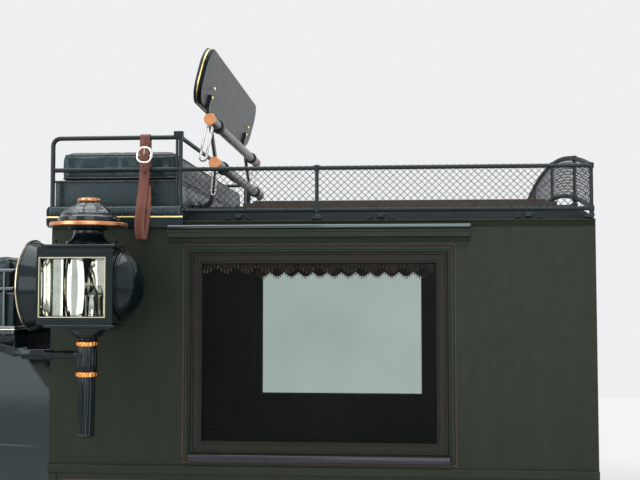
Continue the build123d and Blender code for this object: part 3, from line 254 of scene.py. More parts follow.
def metal(name, tone, stain, roughness=(0.16, 0.38), scale=60):
    made = Finish(name, Metallic=1.0)
    tarnish = made.noise(scale, 6, 0.68)
    made.color(made.mix(made.ramp(tarnish, 0.45, 0.78, 0, 0.8), tone, stain))
    made.rough(made.ramp(tarnish, 0.3, 0.75, *roughness))
    made.bump(made.noise(scale * 5, 3), 0.06, 0.0004)
    return made


def paneGlass(name, tint, strength, roughness=(0.02, 0.06)):
    made = Finish(name, (0.02, 0.025, 0.024))
    film = made.noise(2.2, 5, 0.6)
    fresnel = made.node("ShaderNodeFresnel", {}, {"IOR": 1.5})
    gloss = fresnel * strength + made.ramp(film, 0.4, 0.8, 0.02, 0.07)
    gloss = made.node("ShaderNodeClamp", {}, {0: gloss})
    clear = made.node("ShaderNodeBsdfTransparent", {}, {"Color": tint})
    mixed = made.node("ShaderNodeMixShader", {},
        {0: gloss, 1: clear, 2: Wire(made, made.shader.outputs[0])})
    made.feed(made.tree.nodes["Material Output"].inputs["Surface"], mixed)
    made.rough(made.ramp(film, 0.3, 0.8, *roughness))
    return made


panelPaint = paintedPanels()
roofPaint = roofCanvas()
coachBlack = glossBlack("CoachBlack", 0.09, 0.28, 0.35, 0.22)
bootBlack = glossBlack("BootBlack", 0.05, 0.14, 1.0, 1.0)
coneBlack = glossBlack("ConeBlack", 0.07, 0.20, 0.42, 0.34)
restBlack = glossBlack("RestBlack", 0.30, 0.46, 0.10, 0.12)
iron = blackIron("BlackIron", (0.007, 0.011, 0.012), (0.075, 0.075, 0.068))
springIron = blackIron("SpringIron", (0.014, 0.014, 0.015), (0.10, 0.07, 0.05))
wheelPaint = blackIron("WheelPaint", (0.012, 0.016, 0.012), (0.06, 0.06, 0.05))
sashWood = darkWood("SashWood", (0.0215, 0.0195, 0.0140), (0.0075, 0.0074, 0.0054), (3, 3, 1),
    (0.38, 0.62), 0.24)
slatWood = darkWood("SlatWood", (0.070, 0.044, 0.026), (0.024, 0.015, 0.010), (0.25, 5, 5))
benchWood = darkWood("BenchWood", (0.15, 0.075, 0.035), (0.05, 0.022, 0.012), (0.3, 4, 4))
floorWood = darkWood("FloorWood", (0.12, 0.08, 0.05), (0.05, 0.03, 0.02), (0.3, 6, 6))
barWood = darkWood("BarWood", (0.050, 0.011, 0.012), (0.018, 0.005, 0.006), (5, 0.4, 5),
    (0.16, 0.34))
# the pale blue tint (0.70, 0.93, 1) of both black leathers is a painted sky-blue tint on their
# reflections
blackLeather = leather("BlackLeather", (0.006, 0.011, 0.014), (0.019, 0.028, 0.033), 420,
    (0.24, 0.42), 0.56, (0.70, 0.93, 1))
rollLeather = leather("RollLeather", (0.006, 0.011, 0.014), (0.019, 0.028, 0.033), 150,
    (0.20, 0.36), 0.62, (0.70, 0.93, 1))
strapLeather = leather("StrapLeather", (0.105, 0.026, 0.016), (0.20, 0.064, 0.038), 700,
    (0.30, 0.48), 0.4)
benchLeather = leather("BenchLeather", (0.030, 0.014, 0.011), (0.075, 0.035, 0.026), 380)
copper = metal("Copper", (0.78, 0.35, 0.16), (0.34, 0.12, 0.05))
ringCopper = metal("RingCopper", (0.95, 0.40, 0.12), (0.50, 0.17, 0.04), (0.14, 0.34), 90)
brass = metal("Brass", (0.80, 0.58, 0.25), (0.42, 0.27, 0.10))
gilt = metal("Gilt", (0.90, 0.70, 0.32), (0.62, 0.42, 0.14), (0.22, 0.45), 140)
paleGilt = metal("PaleGilt", (0.93, 0.84, 0.58), (0.66, 0.50, 0.24), (0.12, 0.34), 120)
silver = metal("Silver", (0.93, 0.92, 0.86), (0.70, 0.66, 0.52), (0.03, 0.14), 34)
whiteMetal = metal("WhiteMetal", (0.86, 0.84, 0.78), (0.55, 0.47, 0.34), (0.10, 0.28), 90)
steel = metal("Steel", (0.56, 0.56, 0.55), (0.30, 0.29, 0.27))
windowGlass = paneGlass("WindowGlass", (0.86, 0.90, 0.88), 1.2, (0.29, 0.33))
lampGlass = paneGlass("LampGlass", (0.95, 0.97, 0.96), 1.0)
rubber = mottled("TyreRubber", (22, 7, 0.7), (0.45, 0.75),
    ((0.024, 0.024, 0.024), (0.085, 0.078, 0.066)), (0.6, 0.85), (0.2, 0.0006), (260, 3))
dullRed = mottled("PinstripeRed", (60, 5, 0.7), (0.4, 0.7),
    ((0.055, 0.026, 0.019), (0.13, 0.050, 0.036)), (0.4, 0.6), (0.1, 0.0004))
sillPaint = mottled("SillPaint", (50, 6, 0.7), (0, 1),
    ((0.008, 0.009, 0.016), (0.022, 0.024, 0.034)), (0.16, 0.34), (0.1, 0.0006))
# welts, pipings and the dash binding: black leather mottled with a paler grey, which is painted
# sheen along the piping
paintedSheenWelt = mottled("WeltPaintedSheen", (160, 5, 0.65), (0.45, 0.8),
    ((0.018, 0.019, 0.022), (0.085, 0.088, 0.095)), (0.24, 0.42), (0.2, 0.0006),
    Specular_IOR_Level=0.6)
thread = mottled("StrapThread", (400, 3), (0, 1), ((0.22, 0.14, 0.08), (0.40, 0.28, 0.17)),
    (0.6, 0.8), (0.2, 0.0003))
candleWax = mottled("CandleWax", (60, 4), (0, 1), ((0.62, 0.57, 0.45), (0.80, 0.77, 0.66)),
    (0.35, 0.6), (0.1, 0.0004), Subsurface_Weight=0.2)
cream = mottled("CeilingPaint", (5, 6, 0.7), (0.35, 0.75),
    ((0.60, 0.56, 0.46), (0.42, 0.37, 0.28)), (0.42, 0.62), (0.1, 0.0005), (90, 4))
pelmetCloth = mottled("PelmetCloth", (14, 5, 0.7), (0.35, 0.75),
    ((0.070, 0.024, 0.020), (0.130, 0.060, 0.045)), (0.7, 0.9), (0.4, 0.0005), weave=900,
    Sheen_Weight=0.4)

nodeFinishes = (
    (panelPaint, "cabin_side_near cabin_side_off cabin_front_wall cabin_rear_wall rear_door"),
    (roofPaint, "cabin_roof"),
    (floorWood, "cabin_floor"),
    (benchWood, "bench_near bench_off"),
    (slatWood, "roof_slats"),
    (barWood, "spare_bars"),
    (sashWood, "window_sash_near window_sash_off front_window_sash"),
    (windowGlass, "window_glass_near window_glass_off front_window_glass rear_door_glass"),
    (lampGlass, "lamp_glasses"),
    (coachBlack, "roof_seat_base box_seat_base footboard lamp_near lamp_off"),
    (bootBlack, "boot box_seat_rails"),
    (blackLeather, "roof_seat_cushion box_seat_cushion back_rest"),
    (strapLeather, "seat_strap"),
    (iron, "gallery_near gallery_off gallery_rear roof_seat_rails back_rest_irons lamp_irons"),
    (iron, "rear_axle front_axle rear_step upper_ring"),
    (springIron, "rear_springs front_springs"),
    (wheelPaint, "forecarriage splinter_bar wheel_front_near wheel_front_off"),
    (wheelPaint, "wheel_rear_near wheel_rear_off"),
    (rubber, "tyre_front_near tyre_front_off tyre_rear_near tyre_rear_off"),
)
for finish, names in nodeFinishes:
    for name in names.split():
        mesh = nodes[name].data
        mesh.materials.clear()
        mesh.materials.append(finish.material)
print("finishes on", len(nodes), "nodes")


# mesh helpers
def settle(name, work, finish, smooth=40, body="carriage"):
    # the finished piece, riding on its body and with its slot
    bmesh.ops.recalc_face_normals(work, faces=work.faces)
    mesh = bpy.data.meshes.new(name)
    work.to_mesh(mesh)
    work.free()
    piece = bpy.data.objects.new(name, mesh)
    bpy.context.scene.collection.objects.link(piece)
    mesh.materials.append(finish.material)
    if smooth:
        mesh.shade_smooth()
        mesh.set_sharp_from_angle(angle=radians(smooth))
    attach(piece, body)
    return piece


def addBlock(work, corner, opposite, bevel, segments=2):
    # a block between two corners, in any order
    low = Vector([min(pair) for pair in zip(corner, opposite)])
    high = Vector([max(pair) for pair in zip(corner, opposite)])
    made = bmesh.ops.create_cube(work, size=1)["verts"]
    bmesh.ops.scale(work, vec=high - low, verts=made)
    bmesh.ops.translate(work, vec=(high + low) / 2, verts=made)
    edges = {edge for vert in made for edge in vert.link_edges}
    bmesh.ops.bevel(work, geom=list(edges), offset=bevel, segments=segments, profile=0.5,
        affect="EDGES", material=-1)


def addTurned(work, profile, centre, direction, steps):
    # profile is (radius, distance along the axis), from one pole to the other
    axis = Vector(direction).normalized()
    side = axis.orthogonal().normalized()
    base = Vector(centre)
    verts = [work.verts.new(base + side * r + axis * d) for r, d in profile]
    edges = [work.edges.new(pair) for pair in zip(verts, verts[1:])]
    bmesh.ops.spin(work, geom=verts + edges, cent=base, axis=axis, angle=2 * pi, steps=steps,
        use_merge=True, use_duplicate=False)
    bmesh.ops.remove_doubles(work, verts=work.verts, dist=0.00002)


def addRod(work, start, end, radius, steps=10, tip=None):
    start = Vector(start)
    end = Vector(end)
    run = end - start
    turn = run.to_track_quat("Z", "Y").to_matrix().to_4x4()
    bmesh.ops.create_cone(work, cap_ends=True, segments=steps, radius1=radius,
        radius2=radius if tip is None else tip, depth=run.length,
        matrix=Matrix.Translation((start + end) / 2) @ turn)


def addBall(work, centre, radius, steps):
    bmesh.ops.create_uvsphere(work, u_segments=steps, v_segments=steps // 2 + 1, radius=radius,
        matrix=Matrix.Translation(centre))


def addBent(work, points, radius, steps):
    # rods from point to point, with a ball in each bend
    for a, b in zip(points, points[1:]):
        addRod(work, a, b, radius, steps)
    for point in points[1:-1]:
        addBall(work, point, radius, steps)


def addSkin(work, rings, closed=True, capped=False):
    # bridges each ring of points to the next; open rows when not closed
    made = []
    for ring in rings:
        verts = [work.verts.new(point) for point in ring]
        ends = verts[1:] + verts[:1] if closed else verts[1:]
        made.append((verts, [work.edges.new(pair) for pair in zip(verts, ends)]))
    for (_, first), (_, second) in zip(made, made[1:]):
        bmesh.ops.bridge_loops(work, edges=first + second)
    if capped:
        work.faces.new(made[0][0])
        work.faces.new(made[-1][0])


def addStrip(work, points, width, out, thick):
    # a flat strip along points; width lies in the plane across out
    out = Vector(out).normalized()
    points = [Vector(point) for point in points]
    rows = []
    for before, point, after in zip(points[:1] + points, points, points[1:] + points[-1:]):
        across = (after - before).normalized().cross(out).normalized() * width / 2
        rows.append([point + a * across + b * out * thick
            for a, b in ((-1, 0), (-0.85, 1), (0.85, 1), (1, 0))])
    addSkin(work, rows, closed=False)


def addFrame(work, place, halfWidth, low, high, width, bevel):
    # four mitred bars; place(across, height, lift) is a point, with a lift of 0 or 1
    rings = []
    for inset, lift in ((0, 0), (bevel, 1), (width - bevel, 1), (width, 0)):
        half = halfWidth - inset
        rings.append([work.verts.new(place(*spot, lift)) for spot in ((-half, low + inset),
            (half, low + inset), (half, high - inset), (-half, high - inset))])
    for outer, inner in zip(rings, rings[1:] + rings[:1]):
        for i in range(4):
            work.faces.new((outer[i - 1], outer[i], inner[i], inner[i - 1]))


def sideFrame(work, side, halfWidth, low, high, width, inner, outer, bevel=0.0008, middle=cabinX):
    # a frame on a side wall, from the depth inner to outer
    addFrame(work, lambda x, z, lift: (middle + x, side * (outer if lift else inner), z),
        halfWidth, low, high, width, bevel)


def endFrame(work, face, out, halfWidth, low, high, width, thick, bevel=0.0012, middle=0.0):
    # a frame on an end wall
    addFrame(work, lambda y, z, lift: (face + out * thick * lift, middle + y, z),
        halfWidth, low, high, width, bevel)


def bentRod(name, points, radius, finish, facets=4, closed=False):
    # a bent bar or tube through points, with a smooth line
    curve = bpy.data.curves.new(name + "Line", "CURVE")
    curve.dimensions = "3D"
    curve.bevel_depth = radius
    curve.bevel_resolution = facets
    curve.use_fill_caps = True
    spline = curve.splines.new("POLY")
    spline.points.add(len(points) - 1)
    for spot, place in zip(spline.points, points):
        spot.co = (*place, 1)
    spline.use_cyclic_u = closed
    holder = bpy.data.objects.new(name + "Line", curve)
    bpy.context.scene.collection.objects.link(holder)
    bpy.context.view_layer.update()
    graph = bpy.context.evaluated_depsgraph_get()
    mesh = bpy.data.meshes.new_from_object(holder.evaluated_get(graph))
    bpy.data.objects.remove(holder)
    bpy.data.curves.remove(curve)
    work = bmesh.new()
    work.from_mesh(mesh)
    bpy.data.meshes.remove(mesh)
    bmesh.ops.remove_doubles(work, verts=work.verts, dist=0.00002)
    return settle(name, work, finish)


def roundedLoop(halfX, halfY, corner, steps=10):
    # closed outline of a rounded rectangle as (x, y)
    spots = []
    for a, b, start in ((1, 1, 0), (-1, 1, 90), (-1, -1, 180), (1, -1, 270)):
        for i in range(steps + 1):
            turn = radians(start + 90 * i / steps)
            spots.append((a * (halfX - corner) + corner * cos(turn),
                b * (halfY - corner) + corner * sin(turn)))
    return spots


# camera, lights and floor
photo = {"width": 640, "focal": 942, "across": 71, "up": 51}  # pixels
view = {"place": (cabinX + 0.2075, -3.325, 1.92), "sensor": 36,
    "yaw": atan(photo["across"] / photo["focal"]),
    "pitch": atan(photo["up"] / hypot(photo["focal"], photo["across"]))}
camera = bpy.data.cameras.new("PhotoCamera")
camera.sensor_width = view["sensor"]
camera.lens = view["sensor"] * photo["focal"] / photo["width"]
cameraObject = bpy.data.objects.new("PhotoCamera", camera)
bpy.context.scene.collection.objects.link(cameraObject)
cameraObject.location = view["place"]
cameraObject.rotation_euler = (pi / 2 + view["pitch"], 0, view["yaw"])
bpy.context.scene.camera = cameraObject

# place, turn in degrees, size, power and tint of each light
panels = {"SkyPanel": ((0.3, -1.2, 5.6), (0, 0, 0), 5.0, 210, (1.0, 0.99, 0.97)),
    "FrontPanel": ((-3.6, -4.2, 3.0), (64, 0, -40), 3.0, 80, (1.0, 0.98, 0.95)),
    "BackPanel": ((3.8, 3.6, 3.2), (60, 0, 134), 3.0, 70, (0.96, 0.98, 1.0)),
    "NearFill": ((1.6, -5.4, 2.2), (80, 0, 14), 3.0, 46, (1.0, 1.0, 1.0))}
for name, (place, turn, size, power, tint) in panels.items():
    light = bpy.data.lights.new(name, "AREA")
    light.shape = "SQUARE"
    light.size = size
    light.energy = power
    light.color = tint
    panel = bpy.data.objects.new(name, light)
    panel.location = place
    panel.rotation_euler = [radians(angle) for angle in turn]
    bpy.context.scene.collection.objects.link(panel)

studio = {"sky": (0.93, 0.94, 0.95), "light": 0.55, "seen": 0.92, "floor": (0.72, 0.72, 0.71),
    "horizon": (0.8556, 0.8648, 0.8740), "fade": (3.4, 8.5), "half": 14}
world = bpy.data.worlds.new("StudioWorld")
bpy.context.scene.world = world
world.use_nodes = True
sky = NodeMaker(world.node_tree)
background = sky.tree.nodes["Background"]
sky.feed(background.inputs["Color"], studio["sky"])
seen = sky.node("ShaderNodeLightPath", output="Is Camera Ray")
for kind in ("Is Glossy Ray", "Is Transmission Ray"):
    seen = seen.math("MAXIMUM", sky.node("ShaderNodeLightPath", output=kind))
sky.feed(background.inputs["Strength"], sky.ramp(seen, 0, 1, studio["light"], studio["seen"]))

floorFinish = Finish("StudioFloor", studio["floor"], 0.8, Specular_IOR_Level=0.2,
    Emission_Strength=1.0)
away = floorFinish.node("ShaderNodeVectorMath", {"operation": "LENGTH"},
    {0: floorFinish.point()}, 1)
fade = floorFinish.ramp(away, *studio["fade"])
fade *= floorFinish.node("ShaderNodeLightPath", output="Is Camera Ray")
floorFinish.color(floorFinish.mix(fade, studio["floor"], (0, 0, 0)))
glow = floorFinish.mix(fade, (0, 0, 0), studio["horizon"])
floorFinish.feed(floorFinish.shader.inputs["Emission Color"], glow)
work = bmesh.new()
bmesh.ops.create_grid(work, x_segments=1, y_segments=1, size=studio["half"])
floorMesh = bpy.data.meshes.new("StudioFloor")
work.to_mesh(floorMesh)
work.free()
floorMesh.materials.append(floorFinish.material)
floorObject = bpy.data.objects.new("StudioFloor", floorMesh)
bpy.context.scene.collection.objects.link(floorObject)
bpy.context.scene.view_settings.view_transform = "Standard"
print("camera, lights and floor set")

# gallery net: the wires between those of the CAD net, and their laps on the rails
net = {"front": 0.09655, "rear": 1.25435, "low": 2.1582, "high": 2.2668, "pitch": 0.040,
    "slope": 43.5, "wire": 0.0008, "layer": 0.0017, "half": 0.638, "rearHalf": 0.6309,
    "rails": {"top": 2.273, "low": 2.152}, "rod": 0.0068, "lap": 0.020, "shortest": 0.004}


def addNet(work, base, start, end, rise, place):
    # place(along, height, layer) turns a spot on the net into a point
    run = tan(radians(net["slope"]))
    middle = (net["low"] + net["high"]) / 2
    span = (net["high"] - net["low"]) / run
    for lean, layer in ((1, 0), (-1, 1)):
        for number in range(-1, int((end - start) / net["pitch"]) + 5):
            origin = base + number * net["pitch"] - span / 2
            spots = []
            for edge in (net["low"], net["high"]):
                spot = origin
                for _ in range(6):
                    spot = origin + (edge + rise(spot) - middle - rise(origin)) / (lean * run)
                spot = min(max(spot, start), end)
                spots.append((spot, middle + rise(origin) + lean * run * (spot - origin)))
            if abs(spots[0][0] - spots[1][0]) < net["shortest"]:
                continue
            ends = [place(*spot, net["layer"] * layer - net["wire"]) for spot in spots]
            addRod(work, *ends, net["wire"], 6)


def lapLine(start, end, around):
    # points of a wire wound along a rail; around(along, turn) gives one
    count = int((end - start) / net["lap"] * 10)
    return [around(start + (end - start) * i / count, 2 * pi * i / 10) for i in range(count + 1)]


def camber(y):
    return (roofZ(0) - roofZ(net["half"])) * (1 - (y / net["half"]) ** 2)


for side, tag in sides:
    y = side * net["half"]
    work = bmesh.new()
    addNet(work, net["front"], net["front"] + 0.001, net["rear"] - 0.001, lambda spot: 0.0,
        lambda along, z, lift: (along, y + side * lift, z))
    settle("net_wires_" + tag, work, iron, 60)
    for level, height in net["rails"].items():
        line = lapLine(net["front"] + 0.008, net["rear"] - 0.008, lambda along, turn:
            (along, y + net["rod"] * cos(turn), height + net["rod"] * sin(turn)))
        bentRod("net_laps_" + level + "_" + tag, line, net["wire"], iron, 0)
work = bmesh.new()
addNet(work, -net["rearHalf"], -net["rearHalf"] + 0.001, net["rearHalf"] - 0.001, camber,
    lambda along, z, lift: (net["rear"] + lift, along, z))
settle("net_wires_rear", work, iron, 60)
for level, height in net["rails"].items():
    line = lapLine(-net["rearHalf"] + 0.010, net["rearHalf"] - 0.010, lambda along, turn:
        (net["rear"] + net["rod"] * cos(turn), along,
        height + camber(along) + net["rod"] * sin(turn)))
    bentRod("net_laps_" + level + "_rear", line, net["wire"], iron, 0)

# feet of the gallery posts: a shoe with screws, and a collar at each rail
post = {"shoe": [(0.0100, 0), (0.0098, 0.0016), (0.0078, 0.0040), (0.0064, 0.0090),
    (0.0058, 0.0150), (0.0054, 0.0170)],
    "screw": [(0.0, 0.0022), (0.0026, 0.0018), (0.0036, 0.0006), (0.0036, 0)],
    "collar": [(0.0060, -0.0085), (0.0078, -0.0075), (0.0084, 0), (0.0078, 0.0075),
    (0.0060, 0.0085)], "lift": 0.0062, "screwStep": 0.0115, "rearY": (-0.400, 0.0, 0.400)}
work = bmesh.new()
spots = [(cabinX - 0.004, side * net["half"], 1, 0) for side in (-1, 1)]
spots += [(net["rear"], side * net["half"], 1, 0.008) for side in (-1, 1)]
spots += [(net["rear"], y, 0, 0) for y in post["rearY"]]
for x, y, lengthwise, inset in spots:
    low = roofZ(net["half"] - 0.010) if lengthwise else max(roofZ(abs(y) - 0.016), roofZ(y))
    foot = low + post["lift"]
    addTurned(work, post["shoe"], (x, y, foot), upward, 20)
    for step in (-post["screwStep"], post["screwStep"]):
        if inset and step > 0:
            continue
        spot = (x - inset + step, y, foot) if lengthwise else (x, y + step, foot)
        addTurned(work, post["screw"], spot, upward, 10)
    for height in net["rails"].values():
        lift = 0 if lengthwise else camber(y)
        addTurned(work, post["collar"], (x, y, height + lift), upward, 20)
settle("gallery_collars", work, iron, 35)
print("gallery net done")

# near and off windows: stripe, moulding, beads of the sash and sill
window = {"half": 0.3885, "low": 1.432, "high": 2.053, "proud": 0.0001, "stripe": 0.0028,
    "step": 0.0045, "moulding": 0.0115, "sashHalf": 0.368, "sashLow": 1.458, "sashHigh": 2.032,
    "rail": 0.0325, "sillHalf": 0.372, "sillOut": 0.0130, "sill": (1.436, 1.4572)}
face = cabin["half"] + window["proud"]
for side, tag in sides:
    work = bmesh.new()
    sideFrame(work, side, window["half"], window["low"], window["high"], window["stripe"], face,
        face + 0.0006)
    settle("window_stripe_" + tag, work, dullRed, 0)
    work = bmesh.new()
    step = window["step"]
    sideFrame(work, side, window["half"] - step, window["low"] + step, window["high"] - step,
        window["moulding"], face, face + 0.0035, 0.0015)
    settle("window_moulding_" + tag, work, panelPaint, 30)
    # beads of the pane and of the sash
    work = bmesh.new()
    for inset, width, inner, outer, bevel in (
        (window["rail"] - 0.0065, 0.0095, 0.6395, 0.6482, 0.0028),
        (0.0015, 0.0085, 0.6455, 0.6495, 0.0022)):
        sideFrame(work, side, window["sashHalf"] - inset, window["sashLow"] + inset,
            window["sashHigh"] - inset, width, inner, outer, bevel)
    settle("sash_bead_" + tag, work, sashWood, 30)
    work = bmesh.new()
    low, high = window["sill"]
    addBlock(work, (cabinX - window["sillHalf"], side * (face + window["sillOut"]), low),
        (cabinX + window["sillHalf"], side * face, high), 0.0045, 3)
    settle("window_sill_" + tag, work, sillPaint, 35)

# hoods over the windows: a moulded strip as (out, height) and its cap
hood = {"half": 0.4295, "capOut": (0.6515, 0.6845), "cap": (2.0966, 2.1078), "line":
    [(0.6505, 2.0990), (0.6640, 2.0992), (0.6790, 2.0960), (0.6822, 2.0925), (0.6826, 2.0880),
    (0.6803, 2.0862), (0.6803, 2.0790), (0.6770, 2.0745), (0.6705, 2.0722), (0.6640, 2.0702),
    (0.6600, 2.0655), (0.6560, 2.0600), (0.6503, 2.0590)]}
for side, tag in sides:
    work = bmesh.new()
    addSkin(work, [[(cabinX + x, side * y, z) for y, z in hood["line"]]
        for x in (-hood["half"], hood["half"])], capped=True)
    settle("window_hood_" + tag, work, panelPaint, 28)
    work = bmesh.new()
    inner, outer = hood["capOut"]
    low, high = hood["cap"]
    addBlock(work, (cabinX - hood["half"] - 0.001, side * outer, low),
        (cabinX + hood["half"] + 0.001, side * inner, high), 0.0046, 5)
    settle("hood_cap_" + tag, work, bootBlack, 30)

# bead at the top of the roof's edge, behind the seat
work = bmesh.new()
for side in (-1, 1):
    addRod(work, (0.0975, side * 0.6502, 2.1196), (1.2620, side * 0.6502, 2.1196), 0.0022, 12)
settle("roof_bead", work, panelPaint, 50)

# footman loops along both sides of the roof, for straps
loop = {"y": 0.6345, "x": (cabinX - 0.233, cabinX + 0.179, cabinX + 0.596), "wire": 0.0018,
    "foot": 0.031, "screw": [(0.0, 0.0022), (0.0022, 0.0018), (0.0034, 0.0)],
    "bow": ((0.030, 0), (0.027, 0.0085), (0.022, 0.0120))}
work = bmesh.new()
top = roofZ(loop["y"] - 0.006)
for x in loop["x"]:
    for side in (-1, 1):
        y = side * loop["y"]
        for step in (-loop["foot"], loop["foot"]):
            addBlock(work, (x + step - 0.008, y - 0.006, top),
                (x + step + 0.008, y + 0.006, top + 0.0024), 0.001, 1)
            addTurned(work, loop["screw"], (x + step * 1.12, y, top + 0.0022), upward, 10)
        addBlock(work, (x - 0.011, y - 0.007, top + 0.0008),
            (x + 0.011, y + 0.007, top + 0.0168), 0.0040, 3)
settle("roof_loops", work, iron, 35)
top = roofZ(loop["y"]) + 0.0020
for number, x in enumerate(loop["x"]):
    for side, tag in sides:
        y = side * loop["y"]
        line = [(x - step, y, top + lift) for step, lift in loop["bow"]]
        line += [(x + step, y, top + lift) for step, lift in reversed(loop["bow"])]
        bentRod("roof_loop_%d_%s" % (number, tag), line, loop["wire"], iron, 2)
print("windows and roof edge done")


# soft seats: cushions swollen by simulation, with creases and welts
def plumpForm(spec):
    # closed starting form of a cushion: a rounded box in small voxels
    work = bmesh.new()
    bmesh.ops.create_cube(work, size=1)
    bmesh.ops.scale(work, vec=(2 * spec["halfX"], 2 * spec["halfY"], spec["high"] - spec["low"]),
        verts=work.verts)
    bmesh.ops.bevel(work, geom=list(work.edges), offset=spec["round"], segments=3, profile=0.5,
        affect="EDGES", material=-1)
    bmesh.ops.translate(work, vec=(0, 0, (spec["high"] + spec["low"]) / 2), verts=work.verts)
    mesh = bpy.data.meshes.new(spec["name"])
    work.to_mesh(mesh)
    work.free()
    piece = bpy.data.objects.new(spec["name"], mesh)
    bpy.context.scene.collection.objects.link(piece)
    bpy.ops.object.select_all(action="DESELECT")
    bpy.context.view_layer.objects.active = piece
    piece.select_set(True)
    remesh = piece.modifiers.new("Remesh", "REMESH")
    remesh.mode = "VOXEL"
    remesh.voxel_size = spec["voxel"]
    bpy.ops.object.modifier_apply(modifier="Remesh")
    return piece


def swell(piece, spec):
    # cloth under pressure, with the movement of each point capped
    rest = [vert.co.copy() for vert in piece.data.vertices]
    cloth = piece.modifiers.new("Cloth", "CLOTH")
    cloth.settings.use_pressure = True
    cloth.settings.uniform_pressure_force = spec["pressure"]
    cloth.settings.effector_weights.gravity = 0
    cloth.settings.quality = 4
    cloth.settings.tension_stiffness = 30
    cloth.settings.compression_stiffness = 18
    cloth.settings.bending_stiffness = 0.4
    cloth.point_cache.frame_start = 1
    cloth.point_cache.frame_end = spec["frames"]
    for number in range(1, spec["frames"] + 1):
        bpy.context.scene.frame_set(number)
    graph = bpy.context.evaluated_depsgraph_get()
    moved = [vert.co.copy() for vert in piece.evaluated_get(graph).data.vertices]
    piece.modifiers.remove(cloth)
    bpy.context.scene.frame_set(1)
    for vert, before, after in zip(piece.data.vertices, rest, moved):
        step = after - before
        if step.length > spec["cap"]:
            step = step.normalized() * spec["cap"]
        vert.co = before + step


def dress(piece, spec):
    # creases at the ends, flat underside, then one subdivision
    for vert in piece.data.vertices:
        x, y, z = vert.co
        end = max(0.0, abs(y) / spec["halfY"] - 0.80) / 0.20
        side = max(0.0, abs(x) / spec["halfX"] - 0.86) / 0.14
        level = (z - spec["low"]) / (spec["high"] - spec["low"])
        middle = max(0.0, 1 - abs(level - 0.45) * 2)
        ripple = sin(x * 118 + 2.1 * sin(x * 41)) * middle * end ** 2 * 0.0014
        ripple += sin(x * 47 + level * 7.5) * middle * end ** 2 * 0.0021
        ripple -= exp(-(((level - 0.32) / 0.09) ** 2)) * end ** 2 * 0.0024
        vert.co.y += ripple * (1 if y > 0 else -1)
        ripple = sin(y * 57 + 1.7 * sin(y * 23)) * middle * side * 0.0012
        vert.co.x += ripple * (1 if x > 0 else -1)
        ripple = sin(y * 31 + x * 13) + sin(y * 17 - x * 29)
        vert.co.z += ripple * 0.0006 * max(0.0, level - 0.6)
        crown = max(0.0, (1 - (x / spec["halfX"]) ** 2) * (1 - (y / spec["halfY"]) ** 6))
        vert.co.z += 0.0045 * crown * max(0.0, min(1.0, level * 2 - 1))
        vert.co.z = max(vert.co.z, spec["low"])
    bpy.context.view_layer.objects.active = piece
    smooth = piece.modifiers.new("Subsurf", "SUBSURF")
    smooth.levels = smooth.render_levels = 1
    bpy.ops.object.modifier_apply(modifier="Subsurf")
    piece.data.shade_smooth()


def weltLine(piece, spec, level):
    # points round the cushion, just outside its skin, at one height
    halfX, halfY, corner = spec["halfX"] + 0.06, spec["halfY"] + 0.06, 0.075
    loop = [Vector((x, y, level)) for x, y in roundedLoop(halfX, halfY, corner)]
    spots = []
    for start, following in zip(loop, loop[1:] + loop[:1]):
        count = max(1, int((following - start).length / spec["pitch"]))
        for i in range(count):
            spot = start.lerp(following, i / count)
            centre = Vector((max(corner - halfX, min(halfX - corner, spot.x)),
                max(corner - halfY, min(halfY - corner, spot.y)), level))
            out = (spot - centre).normalized()
            found, place, _, _ = piece.ray_cast(spot, -out)
            if found:
                spots.append(place + out * 0.0006)
    return spots


def cushion(spec, stands):
    piece = plumpForm(spec)
    swell(piece, spec)
    dress(piece, spec)
    lines = [weltLine(piece, spec, level) for level in spec["welts"]]

    def settled(point):
        # into its place, leaning towards the back by its tilt
        level = (point.z - spec["low"]) / (spec["high"] - spec["low"])
        return Vector((point.x + spec["x"], point.y, point.z + spec["tilt"] * point.x * level))

    for vert in piece.data.vertices:
        vert.co = settled(vert.co)
    piece.data.materials.clear()
    piece.data.materials.append(blackLeather.material)
    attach(piece, "carriage")
    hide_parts(stands)
    for number, line in enumerate(lines):
        bentRod("%s_welt_%d" % (spec["name"], number), [settled(point) for point in line],
            spec["welt"], paintedSheenWelt, 2, True)


stuffing = {"voxel": 0.006, "round": 0.016, "pressure": 4.0, "frames": 20, "cap": 0.0075,
    "welt": 0.0030, "pitch": 0.012, "fill": 0.75}
roofPad = {"name": "roof_cushion", "halfX": 0.1805, "halfY": 0.594, "low": 2.2464,
    "high": 2.3290, "x": -0.1140, "welts": (2.2560, 2.3250), "tilt": 0.0}
boxPad = {"name": "box_cushion", "halfX": 0.172, "halfY": 0.484, "low": 1.9142,
    "high": 2.0030, "x": -0.65315, "welts": (1.9235, 1.9985), "tilt": 0.11}
cushion({**stuffing, **roofPad}, "roof_seat_cushion")
cushion({**stuffing, **boxPad}, "box_seat_cushion")
print("cushions done")


# leather round the box of the roof seat, and the rolled edge of its board
def sidePanel(work, low, high, outward, bulge, columns=24, rows=8):
    # a stuffed panel: flat at its edges and fuller in the middle
    outward, low, high = Vector(outward), Vector(low), Vector(high)
    along = Vector((high.x - low.x, high.y - low.y, 0))
    grid = []
    for j in range(rows + 1):
        v = j / rows
        base = low + Vector((0, 0, (high.z - low.z) * v))
        line = []
        for i in range(columns + 1):
            u = i / columns
            fullness = (4 * u * (1 - u)) ** 0.35 * (4 * v * (1 - v)) ** 0.5
            pucker = sin(u * 46 + 2 * sin(u * 13)) * 0.0004 * (1 - v)
            line.append(base + along * u + outward * (bulge * fullness + pucker))
        grid.append(line)
    addSkin(work, grid, closed=False)


